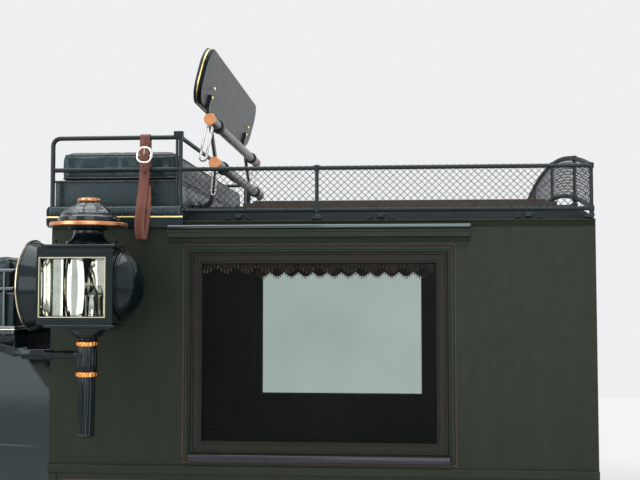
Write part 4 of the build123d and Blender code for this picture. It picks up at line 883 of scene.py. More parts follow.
seatBox = {"x": (-0.30015, 0.06435), "half": 0.605, "low": 2.1656, "top": 2.2460,
    "gap": 0.0008, "panels": 9, "piping": 0.0032}
work = bmesh.new()
x0, x1 = seatBox["x"]
half, top = seatBox["half"], seatBox["top"]
for side in (-1, 1):
    y = side * (half + seatBox["gap"])
    sidePanel(work, (x0, y, seatBox["low"]), (x1, y, top - 0.003), (0, side, 0), 0.0034)
for x, out in ((x0, -1), (x1, 1)):
    x += out * seatBox["gap"]
    for k in range(seatBox["panels"]):
        ya, yb = [half * (2 * n / seatBox["panels"] - 1) for n in (k, k + 1)]
        low = max(roofZ(ya), roofZ(yb)) + 0.002
        sidePanel(work, (x, ya, low), (x, yb, top - 0.003), (out, 0, 0), 0.0030, 8, 6)
settle("roof_seat_leather", work, blackLeather, 60)
x0, x1, half = x0 - 0.002, x1 + 0.002, half + 0.002
line = [(x, y, top - 0.0025) for x, y in ((x0, -half), (x1, -half), (x1, half), (x0, half))]
bentRod("roof_seat_piping", line, seatBox["piping"], paintedSheenWelt, 2, True)

board = {"x": (-0.30565, 0.09635), "y": 0.6643, "inset": 0.0060, "line": 2.133, "lineOut": 0.0015,
    "roll": [(0, 2.1366), (0.55, 2.1372), (0.9, 2.1420), (1.0, 2.1500), (0.9, 2.1580),
    (0.55, 2.1628), (0, 2.1634)], "stuffed": 0.0042, "steps": 96}
x0, x1 = board["x"]
for side, tag in sides:
    work = bmesh.new()
    rings = []
    for i in range(board["steps"] + 1):
        u = i / board["steps"]
        # never quite flat, so that each ring keeps its direction
        end = min(1.0, max(min(u, 1 - u), 1e-6) / 0.030)
        crease = 0.00035 * sin(u * 211 + 3 * sin(u * 37)) + 0.00025 * sin(u * 97)
        rise = board["stuffed"] * sqrt(end * (2 - end)) + crease * end
        x = x0 + board["inset"] + (x1 - x0 - 2 * board["inset"]) * u
        rings.append([(x, side * (board["y"] + rise * out), z) for out, z in board["roll"]])
    addSkin(work, rings, capped=True)
    roll = settle("seat_board_roll_" + tag, work, rollLeather, 60)
    work = bmesh.new()
    addBlock(work, (x0 + 0.0006, side * board["y"], board["line"] - 0.0023),
        (x1 - 0.0006, side * (board["y"] + board["lineOut"]), board["line"] + 0.0023), 0.0006)
    settle("seat_board_line_" + tag, work, gilt, 35)
print("roof seat done")

# back rest: board, gilt bead and a thin pad, as rings of (inset, out from the board's back)
rest = {"low": Vector((0.08935, 0, 2.50574)), "high": Vector((0.13335, 0, 2.67976)),
    "half": 0.500, "corner": 0.070, "back": -0.014,
    "board": [(0.004, 0), (0.0005, 0.0035), (0.0005, 0.0085), (0.0025, 0.0110)],
    "bead": [(0.0030, 0.0112), (0.0006, 0.0120), (0.0000, 0.0138), (0.0006, 0.0156),
    (0.0030, 0.0164)],
    "pad": [(0.0030, 0.0166), (0.0012, 0.0178), (0.0008, 0.0200), (0.0030, 0.0228),
    (0.0110, 0.0252), (0.0300, 0.0276), (0.0600, 0.0290)], "piping": 0.0022}
restHeight = (rest["high"] - rest["low"]).length
restUp = (rest["high"] - rest["low"]).normalized()
restOut = Vector((-restUp.z, 0, restUp.x))
restMiddle = (rest["low"] + rest["high"]) / 2 + restOut * rest["back"]


def restRing(inset, out, corner):
    # an outline of the back rest, drawn in by inset
    loop = roundedLoop(restHeight / 2 - inset, rest["half"] - inset, corner, 12)
    return [restMiddle + Vector((0, y, 0)) + restUp * x + restOut * out for x, y in loop]


for part, finish, slot, smooth in (("board", restBlack, "black_gloss", 35),
    ("bead", gilt, "black_gloss", 35), ("pad", blackLeather, "leather_black", 60)):
    work = bmesh.new()
    addSkin(work, [restRing(inset, out, max(0.008, rest["corner"] - inset))
        for inset, out in rest[part]], capped=True)
    piece = settle("back_" + part, work, finish, smooth)
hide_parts("back_rest")
bentRod("back_piping", restRing(0.0018, 0.0222, 0.068), rest["piping"], paintedSheenWelt,
    2, True)
print("back rest done")


# strap over the side rail: two hanging strands, buckle and stitching
def ribbon(work, line, halves, thick):
    # a flat strap along points (x, y, z); halves gives its half width at each
    edge = min(0.0009, thick * 0.3)
    deep = thick / 2
    rings = []
    for before, spot, after, half in zip(line[:1] + line, line, line[1:] + line[-1:], halves):
        out = (after - before).normalized().cross(Vector((1, 0, 0))).normalized()
        corners = [(-half, edge - deep), (-half, deep - edge), (edge - half, deep),
            (half - edge, deep), (half, deep - edge), (half, edge - deep),
            (half - edge, -deep), (edge - half, -deep)]
        rings.append([spot + Vector((x, 0, 0)) + out * y for x, y in corners])
    addSkin(work, rings, capped=True)


def smoothLine(knots, count):
    # Catmull-Rom points through the knots
    knots = [Vector(knot) for knot in knots]
    line = []
    padded = [knots[0] * 2 - knots[1]] + knots + [knots[-1] * 2 - knots[-2]]
    for a, b, c, d in zip(padded, padded[1:], padded[2:], padded[3:]):
        for i in range(count):
            t = i / count
            line.append(0.5 * (2 * b + (c - a) * t + (2 * a - 5 * b + 4 * c - d) * t ** 2
                + (3 * b - a - 3 * c + d) * t ** 3))
    return line + [knots[-1]]


# knots are (along from x, y, height)
strap = {"x": -0.02115, "half": 0.0150, "thick": 0.0034, "rail": -0.638, "railTop": 2.367,
    "gap": 0.0085, "front": [(-0.001, -0.6680, 2.0683), (-0.003, -0.6702, 2.0725),
    (-0.007, -0.6710, 2.100), (-0.006, -0.6712, 2.135), (-0.003, -0.6701, 2.172),
    (-0.0005, -0.6605, 2.215), (0, -0.6515, 2.252), (0, -0.6490, 2.290), (0, -0.6474, 2.330),
    (0, -0.6465, 2.365)],
    "inside": [(0, -0.6295, 2.365), (0, -0.6285, 2.345), (0, -0.6288, 2.300),
    (0, -0.6290, 2.262)],
    "rising": [(-0.001, -0.6680, 2.0687), (0.001, -0.6658, 2.0740), (0.006, -0.6662, 2.108),
    (0.011, -0.6672, 2.150), (0.011, -0.6670, 2.172), (0.010, -0.6600, 2.196),
    (0.006, -0.6530, 2.226)],
    "billet": [(0, -0.6500, 2.345), (0, -0.6525, 2.328), (0, -0.6572, 2.3150),
    (0, -0.6568, 2.300), (0, -0.6560, 2.280), (0, -0.6580, 2.2620)], "billetHalf": 0.0135,
    "holes": ((2.2820, -0.6562), (2.2985, -0.6567)), "eyelet": [(0.0, 0.0004), (0.0014, 0.0004),
    (0.0020, 0.0002), (0.0022, 0.0)], "stitchX": 0.0118, "loopAt": (2.205, 2.24)}


def strapLine(part, count):
    return smoothLine([(strap["x"] + x, y, z) for x, y, z in strap[part]], count)


front = strapLine("front", 8)
turns = [pi * i / 12 for i in range(1, 12)]
overRail = [Vector((strap["x"], strap["rail"] - strap["gap"] * cos(turn),
    strap["railTop"] + strap["gap"] * sin(turn))) for turn in turns]
line = front + overRail + strapLine("inside", 6)
work = bmesh.new()
ribbon(work, line, [strap["half"]] * len(line), strap["thick"])
piece = settle("strap", work, strapLeather, 50)
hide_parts("seat_strap")
# the doubled end, which comes up again behind the first strand
rising = strapLine("rising", 8)
work = bmesh.new()
ribbon(work, rising, [strap["half"] * 0.9] * len(rising), strap["thick"] * 0.7)
settle("strap_return", work, strapLeather, 50)
# the pointed billet that comes through the buckle
billet = strapLine("billet", 8)
fromTip = [len(billet) - 1 - i for i in range(len(billet))]
halves = [strap["billetHalf"] * sqrt(max(0.01, min(1.0, i / 8))) for i in fromTip]
work = bmesh.new()
ribbon(work, billet, halves, 0.0030)
settle("strap_billet", work, strapLeather, 50)
buckle = {"y": -0.6532, "z": 2.3135, "halfX": 0.0200, "halfZ": 0.0220, "corner": 0.0170,
    "rod": 0.0038, "lean": 0.10, "turn": 0.06, "bars": (
    ((-0.021, -0.6532, 2.3135), (0.021, -0.6532, 2.3115), 0.0022, 0.0022),
    ((0.001, -0.6592, 2.3170), (0.001, -0.6560, 2.3352), 0.0017, 0.0012),
    ((0.001, -0.6532, 2.3150), (0.001, -0.6592, 2.3170), 0.0018, 0.0018))}
ring = [(strap["x"] + x + buckle["turn"] * z, buckle["y"] + buckle["lean"] * z,
    buckle["z"] + z - buckle["turn"] * x)
    for x, z in roundedLoop(buckle["halfX"], buckle["halfZ"], buckle["corner"])]
bentRod("strap_buckle", ring, buckle["rod"], whiteMetal, 3, True)
work = bmesh.new()
for start, end, thick, tip in buckle["bars"]:
    shift = Vector((strap["x"], 0, 0))
    addRod(work, Vector(start) + shift, Vector(end) + shift, thick, 10, tip)
settle("strap_tongue", work, whiteMetal)
# stitching down both edges and the holes of the billet
work = bmesh.new()
for edge in (-strap["stitchX"], strap["stitchX"]):
    for a, b in zip(front, front[1:-1]):
        if strap["loopAt"][0] < a.z < strap["loopAt"][1]:
            continue
        run = (b - a).normalized()
        out = run.cross(Vector((1, 0, 0))).normalized()
        if out.y > 0:
            out = -out
        spot = a + Vector((edge, 0, 0)) + out * (strap["thick"] / 2 + 0.0002)
        addRod(work, spot + run * 0.0006, spot + run * min(0.0036, (b - a).length * 0.7),
            0.0004, 6)
settle("strap_stitches", work, thread)
work = bmesh.new()
for z, y in strap["holes"]:
    addTurned(work, strap["eyelet"], (strap["x"], y - 0.0016, z), (0, -1, 0), 12)
settle("strap_holes", work, iron)
print("strap done")


# carriage lamps; profiles are (radius, height or distance along the axis)
lamp = {"x": -0.11815, "y": 0.850, "z": 1.935, "face": 0.106, "pane": (-0.008, -0.006),
    "paneHalf": (0.0865, 0.0765), "wick": (0.031, 0.060),
    "roofRing": [(0.0990, 2.0904), (0.1012, 2.0907), (0.1026, 2.0921), (0.1030, 2.0943),
    (0.1023, 2.0962), (0.1030, 2.0982), (0.1024, 2.1005), (0.1006, 2.1017), (0.0960, 2.1019)],
    "cap": [(0.0, 2.1708), (0.0130, 2.1704), (0.0258, 2.1692), (0.0303, 2.1668),
    (0.0309, 2.1636), (0.0303, 2.1600), (0.0290, 2.1584)],
    # radius, height and depth of the flutes
    "band": [(0.0240, -0.0068, 0), (0.0282, -0.0064, 0), (0.0292, -0.0048, 0.0),
    (0.0298, -0.0030, -0.0014), (0.0302, 0, -0.0020), (0.0298, 0.0030, -0.0014),
    (0.0292, 0.0048, 0.0), (0.0282, 0.0064, 0), (0.0240, 0.0068, 0)],
    "bandsAt": (1.7795, 1.6985),
    "cone": [(0.0790, 2.1038, 0), (0.0808, 2.1052, 0), (0.0812, 2.1085, 0),
    (0.0806, 2.1150, 0), (0.0772, 2.1185, 0), (0.0736, 2.1200, 0), (0.0728, 2.1215, 0),
    (0.0728, 2.1255, 0), (0.0704, 2.1275, 0), (0.0696, 2.1285, 0.0010),
    (0.0660, 2.1322, 0.0018), (0.0580, 2.1388, 0.0018), (0.0462, 2.1455, 0.0016),
    (0.0366, 2.1508, 0.0012), (0.0322, 2.1545, 0), (0.0310, 2.1585, 0)],
    "barrel": [(0.0246, 1.7054, 0), (0.0254, 1.7070, -0.0006), (0.0262, 1.7200, -0.0016),
    (0.0266, 1.7390, -0.0018), (0.0262, 1.7580, -0.0016), (0.0254, 1.7710, -0.0006),
    (0.0246, 1.7726, 0)],
    "stem": [(0.0206, 1.6916, 0), (0.0220, 1.6895, -0.0006), (0.0222, 1.6700, -0.0014),
    (0.0216, 1.6000, -0.0014), (0.0210, 1.5430, -0.0012), (0.0206, 1.5395, 0)],
    "stemEnd": [(0.0204, 1.5398), (0.0214, 1.5386), (0.0216, 1.5366), (0.0204, 1.5350),
    (0.0168, 1.5330), (0.0150, 1.5322), (0.0, 1.5320)],
    "funnel": [(0.0500, 1.8290), (0.0516, 1.8270), (0.0514, 1.8225), (0.0500, 1.8150),
    (0.0452, 1.8065), (0.0380, 1.7995), (0.0300, 1.7950), (0.0264, 1.7925), (0.0268, 1.7900),
    (0.0286, 1.7885)],
    "neck": [(0.0505, 2.0895), (0.0532, 2.0885), (0.0528, 2.0868), (0.0410, 2.0850),
    (0.0394, 2.0800), (0.0402, 2.0720), (0.0428, 2.0630), (0.0470, 2.0565), (0.0514, 2.0536),
    (0.0580, 2.0518), (0.0592, 2.0498), (0.0584, 2.0476), (0.0580, 2.0370)],
    "domeBead": [(0.0940, 0.0990), (0.0966, 0.0998), (0.0976, 0.1020), (0.0962, 0.1042),
    (0.0925, 0.1050)],
    "domeKnob": [(0.0, 0.0190), (0.0042, 0.0176), (0.0058, 0.0130), (0.0042, 0.0086),
    (0.0034, 0.0040), (0.0070, 0.0)],
    "cornerKnob": [(0.0052, 0), (0.0052, 0.002), (0.0026, 0.004), (0.0026, 0.010),
    (0.0048, 0.0130), (0.0040, 0.0165), (0.0, 0.0185)],
    # ends, heights and rolled edge of each plate round the body
    "plates": ((-0.0765, 0.1005, 2.0335, 2.0375, 0.0046, 0.0016),
    (-0.0745, 0.0985, 2.0195, 2.0225, 0.0030, 0.0012),
    (-0.0765, 0.1005, 1.8270, 1.8310, 0.0044, 0.0016)), "plateOut": (0.022, 0.1090),
    "rim": [(0.1168, -0.1498), (0.1182, -0.1530), (0.1200, -0.1538), (0.1212, -0.1528),
    (0.1217, -0.1508), (0.1217, -0.1496)],
    "lensRim": [(0.0990, -0.1502), (0.0985, -0.1530), (0.0955, -0.1540), (0.0930, -0.1530),
    (0.0925, -0.1495)],
    "lens": [(0.0, -0.1580), (0.0300, -0.1570), (0.0600, -0.1542), (0.0850, -0.1500),
    (0.0920, -0.1480), (0.0920, -0.1440), (0.0, -0.1440)],
    "bowl": [(0.0945, -0.0950), (0.0945, -0.0400), (0.0925, -0.0150), (0.0860, 0.0060),
    (0.0700, 0.0210), (0.0450, 0.0300), (0.0200, 0.0335), (0.0, 0.0345)],
    # left edge, right edge, depth, fullness and waist of each mirror
    "mirrors": ((-0.0930, -0.0480, 0.0600, 0.0030, 0.0), (-0.0475, 0.0080, 0.0560, 0.0060, 0.20),
    (0.0090, 0.0770, 0.0240, 0.0060, 0.0)), "mirrorHalf": 0.0762,
    "socket": [(0.0, -0.0810), (0.0200, -0.0810), (0.0200, -0.0770), (0.0178, -0.0755),
    (0.0178, -0.0320), (0.0190, -0.0305), (0.0190, -0.0268), (0.0160, -0.0258),
    (0.0158, -0.0285), (0.0, -0.0285)],
    "candle": [(0.0, -0.0282), (0.0100, -0.0280), (0.0098, -0.0225), (0.0080, -0.0205),
    (0.0014, -0.0198), (0.0010, -0.0130), (0.0, -0.0128)],
    "glassCone": [(0.0, -0.0278), (0.0150, -0.0276), (0.0154, -0.0255), (0.0128, -0.0160),
    (0.0082, -0.0060), (0.0040, -0.0008), (0.0, 0.0)],
    # inset and depth of the steps of a bevelled pane
    "bevel": ((0, -0.0105), (0, -0.0065), (0.0012, -0.0058), (0.0135, -0.0018),
    (0.0138, -0.0017)),
    "ironEnd": [(0.0082, -0.1790), (0.0104, -0.1770), (0.0106, -0.1240), (0.0128, -0.1225),
    (0.0134, -0.1200), (0.0134, -0.0960), (0.0124, -0.0925), (0.0107, -0.0915),
    (0.0105, -0.0330), (0.0120, -0.0310), (0.0126, -0.0260), (0.0126, -0.0225)],
    "ironZ": 1.7500, "elbow": ((-0.1760, -0.0060, -0.0125), (-0.1130, 0.0140, 0.0135)),
    "tray": ((-0.066, 0.020, -0.1155), (0.090, 0.098, -0.1078)), "knobs": (-0.066, 0.090),
    "boxLevels": (-0.0818, 0.0698), "boxEnds": (-0.0939, 0.0777), "boxSheet": 0.0006}


def addGadroons(work, profile, centre, lobes, steps):
    # turned upright form; a depth above 0 makes thin ribs with flat panels between them,
    # and one below 0 makes flutes
    rings = []
    for radius, height, depth in profile:
        ring = []
        for i in range(steps):
            turn = 2 * pi * i / steps
            wave = abs(cos(lobes * turn / 2))
            if depth > 0:
                away = (lobes * i / steps) % 1 - 0.5
                reach = radius * cos(pi / lobes) / cos(2 * pi / lobes * away) + depth * wave ** 24
            else:
                reach = radius + depth * wave ** 3
            ring.append(Vector(centre) + Vector((reach * cos(turn), reach * sin(turn), height)))
        rings.append(ring)
    addSkin(work, rings)


def rolledPlate(work, left, right, inner, outer, low, high, roll, bevel):
    # a plate with a rolled edge along its outer side and its ends
    addBlock(work, (left, inner, low), (right, outer, high), bevel)
    z = (low + high) / 2
    spots = [(left, inner, z), (left, outer, z), (right, outer, z), (right, inner, z)]
    for start, end in zip(spots, spots[1:]):
        addRod(work, start, end, roll, 16)
    for corner in spots[1:-1]:
        addBall(work, corner, roll, 12)


paneX, paneZ = lamp["pane"]
paneHalf, paneTall = lamp["paneHalf"]
for side, tag in sides:
    middle = (lamp["x"], side * lamp["y"], lamp["z"])
    upright = (lamp["x"], side * lamp["y"], 0)

    def lampSpot(x, out, z):
        # from the middle of the lamp's body, with out away from the vehicle
        return (lamp["x"] + x, side * (lamp["y"] + out), lamp["z"] + z)

    work = bmesh.new()
    addTurned(work, lamp["roofRing"], upright, upward, 96)
    addTurned(work, lamp["cap"], upright, upward, 64)
    settle("lamp_copper_" + tag, work, copper)
    work = bmesh.new()
    for level in lamp["bandsAt"]:
        addGadroons(work, lamp["band"], (upright[0], upright[1], level), 18, 144)
    settle("lamp_rings_" + tag, work, ringCopper)
    work = bmesh.new()
    addGadroons(work, lamp["cone"], upright, 13, 208)
    settle("lamp_gadroons_" + tag, work, coneBlack, 25)
    work = bmesh.new()
    addGadroons(work, lamp["barrel"], upright, 16, 128)
    addGadroons(work, lamp["stem"], upright, 14, 112)
    settle("lamp_flutes_" + tag, work, coachBlack, 25)

    # black edges: stem's end, funnel, neck, bead and knobs of the dome, plates
    work = bmesh.new()
    addTurned(work, lamp["stemEnd"], upright, upward, 40)
    addTurned(work, lamp["funnel"], upright, upward, 64)
    addTurned(work, lamp["neck"], upright, upward, 72)
    addTurned(work, lamp["domeBead"], middle, rearward, 96)
    addTurned(work, lamp["domeKnob"], lampSpot(0.0700, 0.0, 0.1068), (0.30, 0, 1), 20)
    inner, outer = [side * (lamp["y"] + out) for out in lamp["plateOut"]]
    for left, right, low, high, roll, bevel in lamp["plates"]:
        rolledPlate(work, lamp["x"] + left, lamp["x"] + right, inner, outer, low, high, roll,
            bevel)
    addBlock(work, *[lampSpot(*corner) for corner in lamp["tray"]], 0.0030)
    for x in lamp["knobs"]:
        addTurned(work, lamp["cornerKnob"], lampSpot(x, 0.070, 0.1030), upward, 20)
    settle("lamp_edges_" + tag, work, coachBlack, 35)

    # thin gilt rim of the flared front, white metal rim of the lens, gilt frame of the pane
    work = bmesh.new()
    addTurned(work, lamp["rim"], middle, rearward, 120)
    settle("lamp_rim_" + tag, work, paleGilt)
    work = bmesh.new()
    addTurned(work, lamp["lensRim"], middle, rearward, 96)
    settle("lamp_lens_rim_" + tag, work, whiteMetal)
    work = bmesh.new()
    z = lamp["z"] + paneZ
    face = lamp["y"] + lamp["face"]
    sideFrame(work, side, paneHalf + 0.0022, z - paneTall - 0.0022, z + paneTall + 0.0022, 0.0040,
        face + 0.0001, face + 0.0026, 0.0010, lamp["x"] + paneX)
    settle("lamp_gilt_" + tag, work, paleGilt, 30)

    # silvered lining: a bowl, open towards the pane, and curved mirrors in a box
    work = bmesh.new()
    addTurned(work, lamp["bowl"], middle, rearward, 72)
    opened = [part for part in work.faces
        if side * part.calc_center_median().y - lamp["y"] > 0.022
        and part.calc_center_median().x < lamp["x"] + 0.024]
    bmesh.ops.delete(work, geom=opened, context="FACES")
    settle("lamp_lining_" + tag, work, silver, 60)
    work = bmesh.new()
    for x0, x1, out, bulge, waist in lamp["mirrors"]:
        rows = []
        for j in range(17):
            v = j / 8 - 1
            half = (x1 - x0) / 2 * (1 - waist * v ** 2)
            rows.append([lampSpot((x0 + x1) / 2 + half * (i / 7 - 1),
                out + bulge * (1 - (i / 7 - 1) ** 2), paneZ + lamp["mirrorHalf"] * v)
                for i in range(15)])
        addSkin(work, rows, closed=False)
    thin = lamp["boxSheet"]
    for level in lamp["boxLevels"]:
        addBlock(work, lampSpot(-0.0942, 0.0, level - thin), lampSpot(0.0782, 0.094, level + thin),
            0.0003, 1)
    for x in lamp["boxEnds"]:
        addBlock(work, lampSpot(x - 0.0005, 0.0, -0.0815), lampSpot(x + 0.0005, 0.0945, 0.0695),
            0.0003, 1)
    settle("lamp_mirrors_" + tag, work, silver, 50)

    # candle in its spring socket
    work = bmesh.new()
    addTurned(work, lamp["socket"], lampSpot(*lamp["wick"], 0), upward, 40)
    settle("lamp_socket_" + tag, work, silver)
    work = bmesh.new()
    addTurned(work, lamp["candle"], lampSpot(*lamp["wick"], 0), upward, 24)
    settle("lamp_candle_" + tag, work, candleWax)

# bevelled side panes, front lenses and small glass cones, in one piece
work = bmesh.new()
for side in (-1, 1):
    half, tall = paneHalf - 0.0002, paneTall - 0.0002
    addSkin(work, [[(lamp["x"] + paneX + a * (half - inset),
        side * (lamp["y"] + lamp["face"] + depth), lamp["z"] + paneZ + b * (tall - inset))
        for a, b in ((-1, -1), (1, -1), (1, 1), (-1, 1))] for inset, depth in lamp["bevel"]],
        capped=True)
    addTurned(work, lamp["lens"], (lamp["x"], side * lamp["y"], lamp["z"]), rearward, 64)
    x, out = lamp["wick"]
    addTurned(work, lamp["glassCone"], (lamp["x"] + x, side * (lamp["y"] + out), lamp["z"]),
        upward, 40)
piece = settle("lamp_panes", work, lampGlass, 20)
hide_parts("lamp_glasses")

# round end of each lamp iron, its elbow and the flat bar before it
work = bmesh.new()
for side in (-1, 1):
    addTurned(work, lamp["ironEnd"], (lamp["x"], side * lamp["y"], lamp["ironZ"]), rearward, 32)
    addBlock(work, *[(lamp["x"] + x, side * (lamp["y"] + out), lamp["ironZ"] + z)
        for x, out, z in lamp["elbow"]], 0.0024)
settle("lamp_iron_ends", work, coachBlack, 35)
print("lamps done")

# wheels: hub caps, bands, felloe plates, bolts and pinstripes; middle of each hub, which is as
# high as the radius, and number of spokes
wheels = {"rear_near": (0.90435, -0.730, 0.510, 14), "rear_off": (0.90435, 0.730, 0.510, 14),
    "front_near": (-0.84565, -0.645, 0.420, 12), "front_off": (-0.84565, 0.645, 0.420, 12)}
rim = {"tyre": 0.016, "felloe": 0.046, "width": 0.042, "dish": 0.014, "spokeFoot": 0.058,
    "hubCap": [(0.0425, 0.0931), (0.0440, 0.0940), (0.0440, 0.0975), (0.0415, 0.0990),
    (0.0368, 0.1000), (0.0352, 0.1020), (0.0345, 0.1130), (0.0325, 0.1165), (0.0245, 0.1188),
    (0.0120, 0.1198), (0.0, 0.1201)],
    "hubGrip": [(0.0190, 0.1185), (0.0186, 0.1262), (0.0165, 0.1275), (0.0, 0.1278)],
    "bands": ((-0.0925, -0.0795, 0.0537), (0.0795, 0.0925, 0.0462)),
    "hoop": [(0.0700, -0.0050), (0.0752, -0.0040), (0.0760, 0), (0.0752, 0.0040),
    (0.0700, 0.0050)], "hoopsAt": (-0.0345, 0.0345), "plate": (0.030, 0.0125, 0.0016),
    "plateBolt": [(0.0052, 0), (0.0052, 0.0024), (0.0036, 0.0042), (0.0, 0.0046)],
    "tyreBolt": [(0.0050, 0), (0.0050, 0.0030), (0.0030, 0.0044), (0.0, 0.0046)],
    "shoulder": [(0.0150, 0.0200), (0.0185, 0.0150), (0.0192, 0.0095), (0.0188, 0.0040),
    (0.0188, 0.0018)], "stripe": (0.0030, 0.0003), "stripeFrom": 0.102}
for tag, (hubX, hubY, radius, spokes) in wheels.items():
    body = tag + "_wheel"
    side = -1 if hubY < 0 else 1
    hub = (hubX, hubY, radius)
    outward = (0, side, 0)
    felloeOuter = radius - rim["tyre"]
    felloeInner = felloeOuter - rim["felloe"]
    face = rim["dish"] + rim["width"] / 2

    def rimSpot(turn, reach, out=rim["dish"]):
        return Vector((hubX + reach * cos(turn), hubY + side * out, radius + reach * sin(turn)))

    def toHub(turn):
        return Vector((-cos(turn), 0, -sin(turn)))

    # brass hub cap: a stepped cup with a grip of six flats
    work = bmesh.new()
    addTurned(work, rim["hubCap"], hub, outward, 64)
    addTurned(work, rim["hubGrip"], hub, outward, 6)
    settle("hub_cap_" + tag, work, brass, 35, body)

    # iron bands and hoops of the nave
    work = bmesh.new()
    for low, high, reach in rim["bands"]:
        addTurned(work, [(reach - 0.006, low), (reach + 0.0012, low + 0.0008),
            (reach + 0.0020, low + 0.0030), (reach + 0.0020, high - 0.0030),
            (reach + 0.0012, high - 0.0008), (reach - 0.006, high)], hub, outward, 64)
    for at in rim["hoopsAt"]:
        addTurned(work, [(reach, at + out) for reach, out in rim["hoop"]], hub, outward, 72)
    # felloe plates over the joints, with two bolts each, and the tyre bolts
    long, wide, thick = rim["plate"]
    for k in range(spokes // 2):
        joint = 2 * pi * (2 * k + 1) / spokes
        reach = felloeInner + 0.0005
        a = rimSpot(joint - long / reach, reach)
        b = rimSpot(joint + long / reach, reach)
        along = (b - a).normalized()
        middle = (a + b) / 2 + toHub(joint) * 0.0012
        corners = [middle + along * sx * long + Vector(outward) * sy * wide
            + toHub(joint) * sz * thick for sx in (-1, 1) for sy in (-1, 1) for sz in (-1, 1)]
        bmesh.ops.convex_hull(work, input=[work.verts.new(corner) for corner in corners])
        for step in (-0.019, 0.019):
            head = rimSpot(joint + step / felloeInner, felloeInner - 0.0022)
            addTurned(work, rim["plateBolt"], head, toHub(joint), 12)
    for k in range(1, spokes, 2):
        turn = 2 * pi * (k + 0.5) / spokes
        addTurned(work, rim["tyreBolt"], rimSpot(turn, felloeInner + 0.0002), toHub(turn), 6)
    settle("wheel_irons_" + tag, work, iron, 35, body)

    # turned shoulders of the spokes, and rounded edges of the felloes
    work = bmesh.new()
    for k in range(spokes):
        turn = 2 * pi * k / spokes
        start = rimSpot(turn, rim["spokeFoot"], 0.0)
        run = rimSpot(turn, felloeInner + 0.002) - start
        profile = [(thick, run.length - fromEnd) for thick, fromEnd in rim["shoulder"]]
        addTurned(work, profile, start, run, 16)
    for reach in (felloeOuter - 0.0040, felloeInner + 0.0040):
        for out, sign in ((rim["dish"] - rim["width"] / 2, -1), (face, 1)):
            lifted = out + sign * 0.0010
            addTurned(work, [(reach - 0.0036, out), (reach - 0.0020, lifted),
                (reach + 0.0020, lifted), (reach + 0.0036, out)], hub, outward, 96)
    settle("wheel_turnings_" + tag, work, wheelPaint, 35, body)

    # pinstripes on the outer faces of the spokes and the felloes
    work = bmesh.new()
    width, thick = rim["stripe"]
    foot, spokeRun = rim["spokeFoot"], felloeInner + 0.002 - rim["spokeFoot"]
    for k in range(spokes):
        points = []
        for i in range(9):
            reach = rim["stripeFrom"] + (felloeInner - 0.030 - rim["stripeFrom"]) * i / 8
            out = 0.021 + (reach - foot) / spokeRun * 0.008
            points.append(rimSpot(2 * pi * k / spokes, reach, out + 0.0001))
        addStrip(work, points, width, outward, thick)
    reach = (felloeOuter + felloeInner) / 2
    addTurned(work, [(reach - 0.0016, face), (reach - 0.0014, face + thick),
        (reach + 0.0014, face + thick), (reach + 0.0016, face)], hub, outward, 120)
    settle("wheel_stripes_" + tag, work, dullRed, 30, body)
print("wheels done")

# springs: eye bolts, clips, U-bolts and saddle plates; x and y of each spring, heights of the
# axle and of the spring's eyes, half its height
springSets = (("rear", "carriage", 0.90435, 0.430, 0.510, 0.6545, 0.1253),
    ("front", "turning_carriage", -0.84565, 0.330, 0.420, 0.5640, 0.1248))
spring = {"halfRun": 0.440, "clip": 0.165, "camber": 0.0341, "leg": 0.0265, "uBolts": 0.0245,
    "leafSide": 0.0221, "clipOut": 0.02335, "clipHalf": (0.009, 0.00115, 0.0170),
    "seat": 0.018, "leaves": 0.0285, "plate": (0.036, 0.037, -0.0270, -0.0195),
    "eyeBolt": [(0.0105, 0), (0.0105, 0.0016), (0.0078, 0.0024), (0.0078, 0.0075),
    (0.0060, 0.0088), (0.0, 0.0090)], "nut": [(0.0082, 0), (0.0082, 0.0062), (0.0, 0.0064)],
    "saddleBolt": [(0.0080, 0), (0.0080, 0.0052), (0.0058, 0.0066), (0.0, 0.0070)]}
for tag, body, middleX, fromMiddle, axleZ, eyeZ, half in springSets:
    work = bmesh.new()
    rise = half - spring["camber"]
    fromEye = rise * (1 - (spring["clip"] / spring["halfRun"]) ** 2) + 0.014
    top = eyeZ - half + spring["seat"] + spring["leaves"]
    for side in (-1, 1):
        y = side * fromMiddle

        def springBlock(halfX, halfY, low, high, bevel, segments=1, x=middleX, across=y):
            addBlock(work, (x - halfX, across - halfY, low), (x + halfX, across + halfY, high),
                bevel, segments)

        for end in (-1, 1):
            for out in (-1, 1):
                addTurned(work, spring["eyeBolt"], (middleX + end * spring["halfRun"],
                    y + out * spring["leafSide"], eyeZ), (0, out, 0), 12)
        # rebound clips round the leaves, on both sides, partway to each eye
        halfX, halfY, halfZ = spring["clipHalf"]
        for end in (-1, 1):
            for z in (eyeZ - fromEye, eyeZ + fromEye):
                for out in (-1, 1):
                    springBlock(halfX, halfY, z - halfZ, z + halfZ, 0.0008,
                        x=middleX + end * spring["clip"], across=y + out * spring["clipOut"])
        # U-bolts over the lower leaves, down past the axle to a plate
        for step in (-spring["uBolts"], spring["uBolts"]):
            x, leg, low, high = middleX + step, spring["leg"], axleZ - 0.0340, top + 0.0045
            addBent(work, [(x, y - leg, low), (x, y - leg, high), (x, y + leg, high),
                (x, y + leg, low)], 0.0042, 12)
            for across in (-leg, leg):
                addTurned(work, spring["nut"], (x, y + across, axleZ - 0.0272), downward, 6)
        halfX, halfY, low, high = spring["plate"]
        springBlock(halfX, halfY, axleZ + low, axleZ + high, 0.0020, 2)
        springBlock(0.040, 0.0235, top, top + 0.0008, 0.0003)
        for step in (-0.040, 0.040):
            addTurned(work, spring["saddleBolt"], (middleX + step, y,
                eyeZ + half - 0.018 - 0.0283), downward, 6)
    settle("spring_irons_" + tag, work, springIron, 35, body)

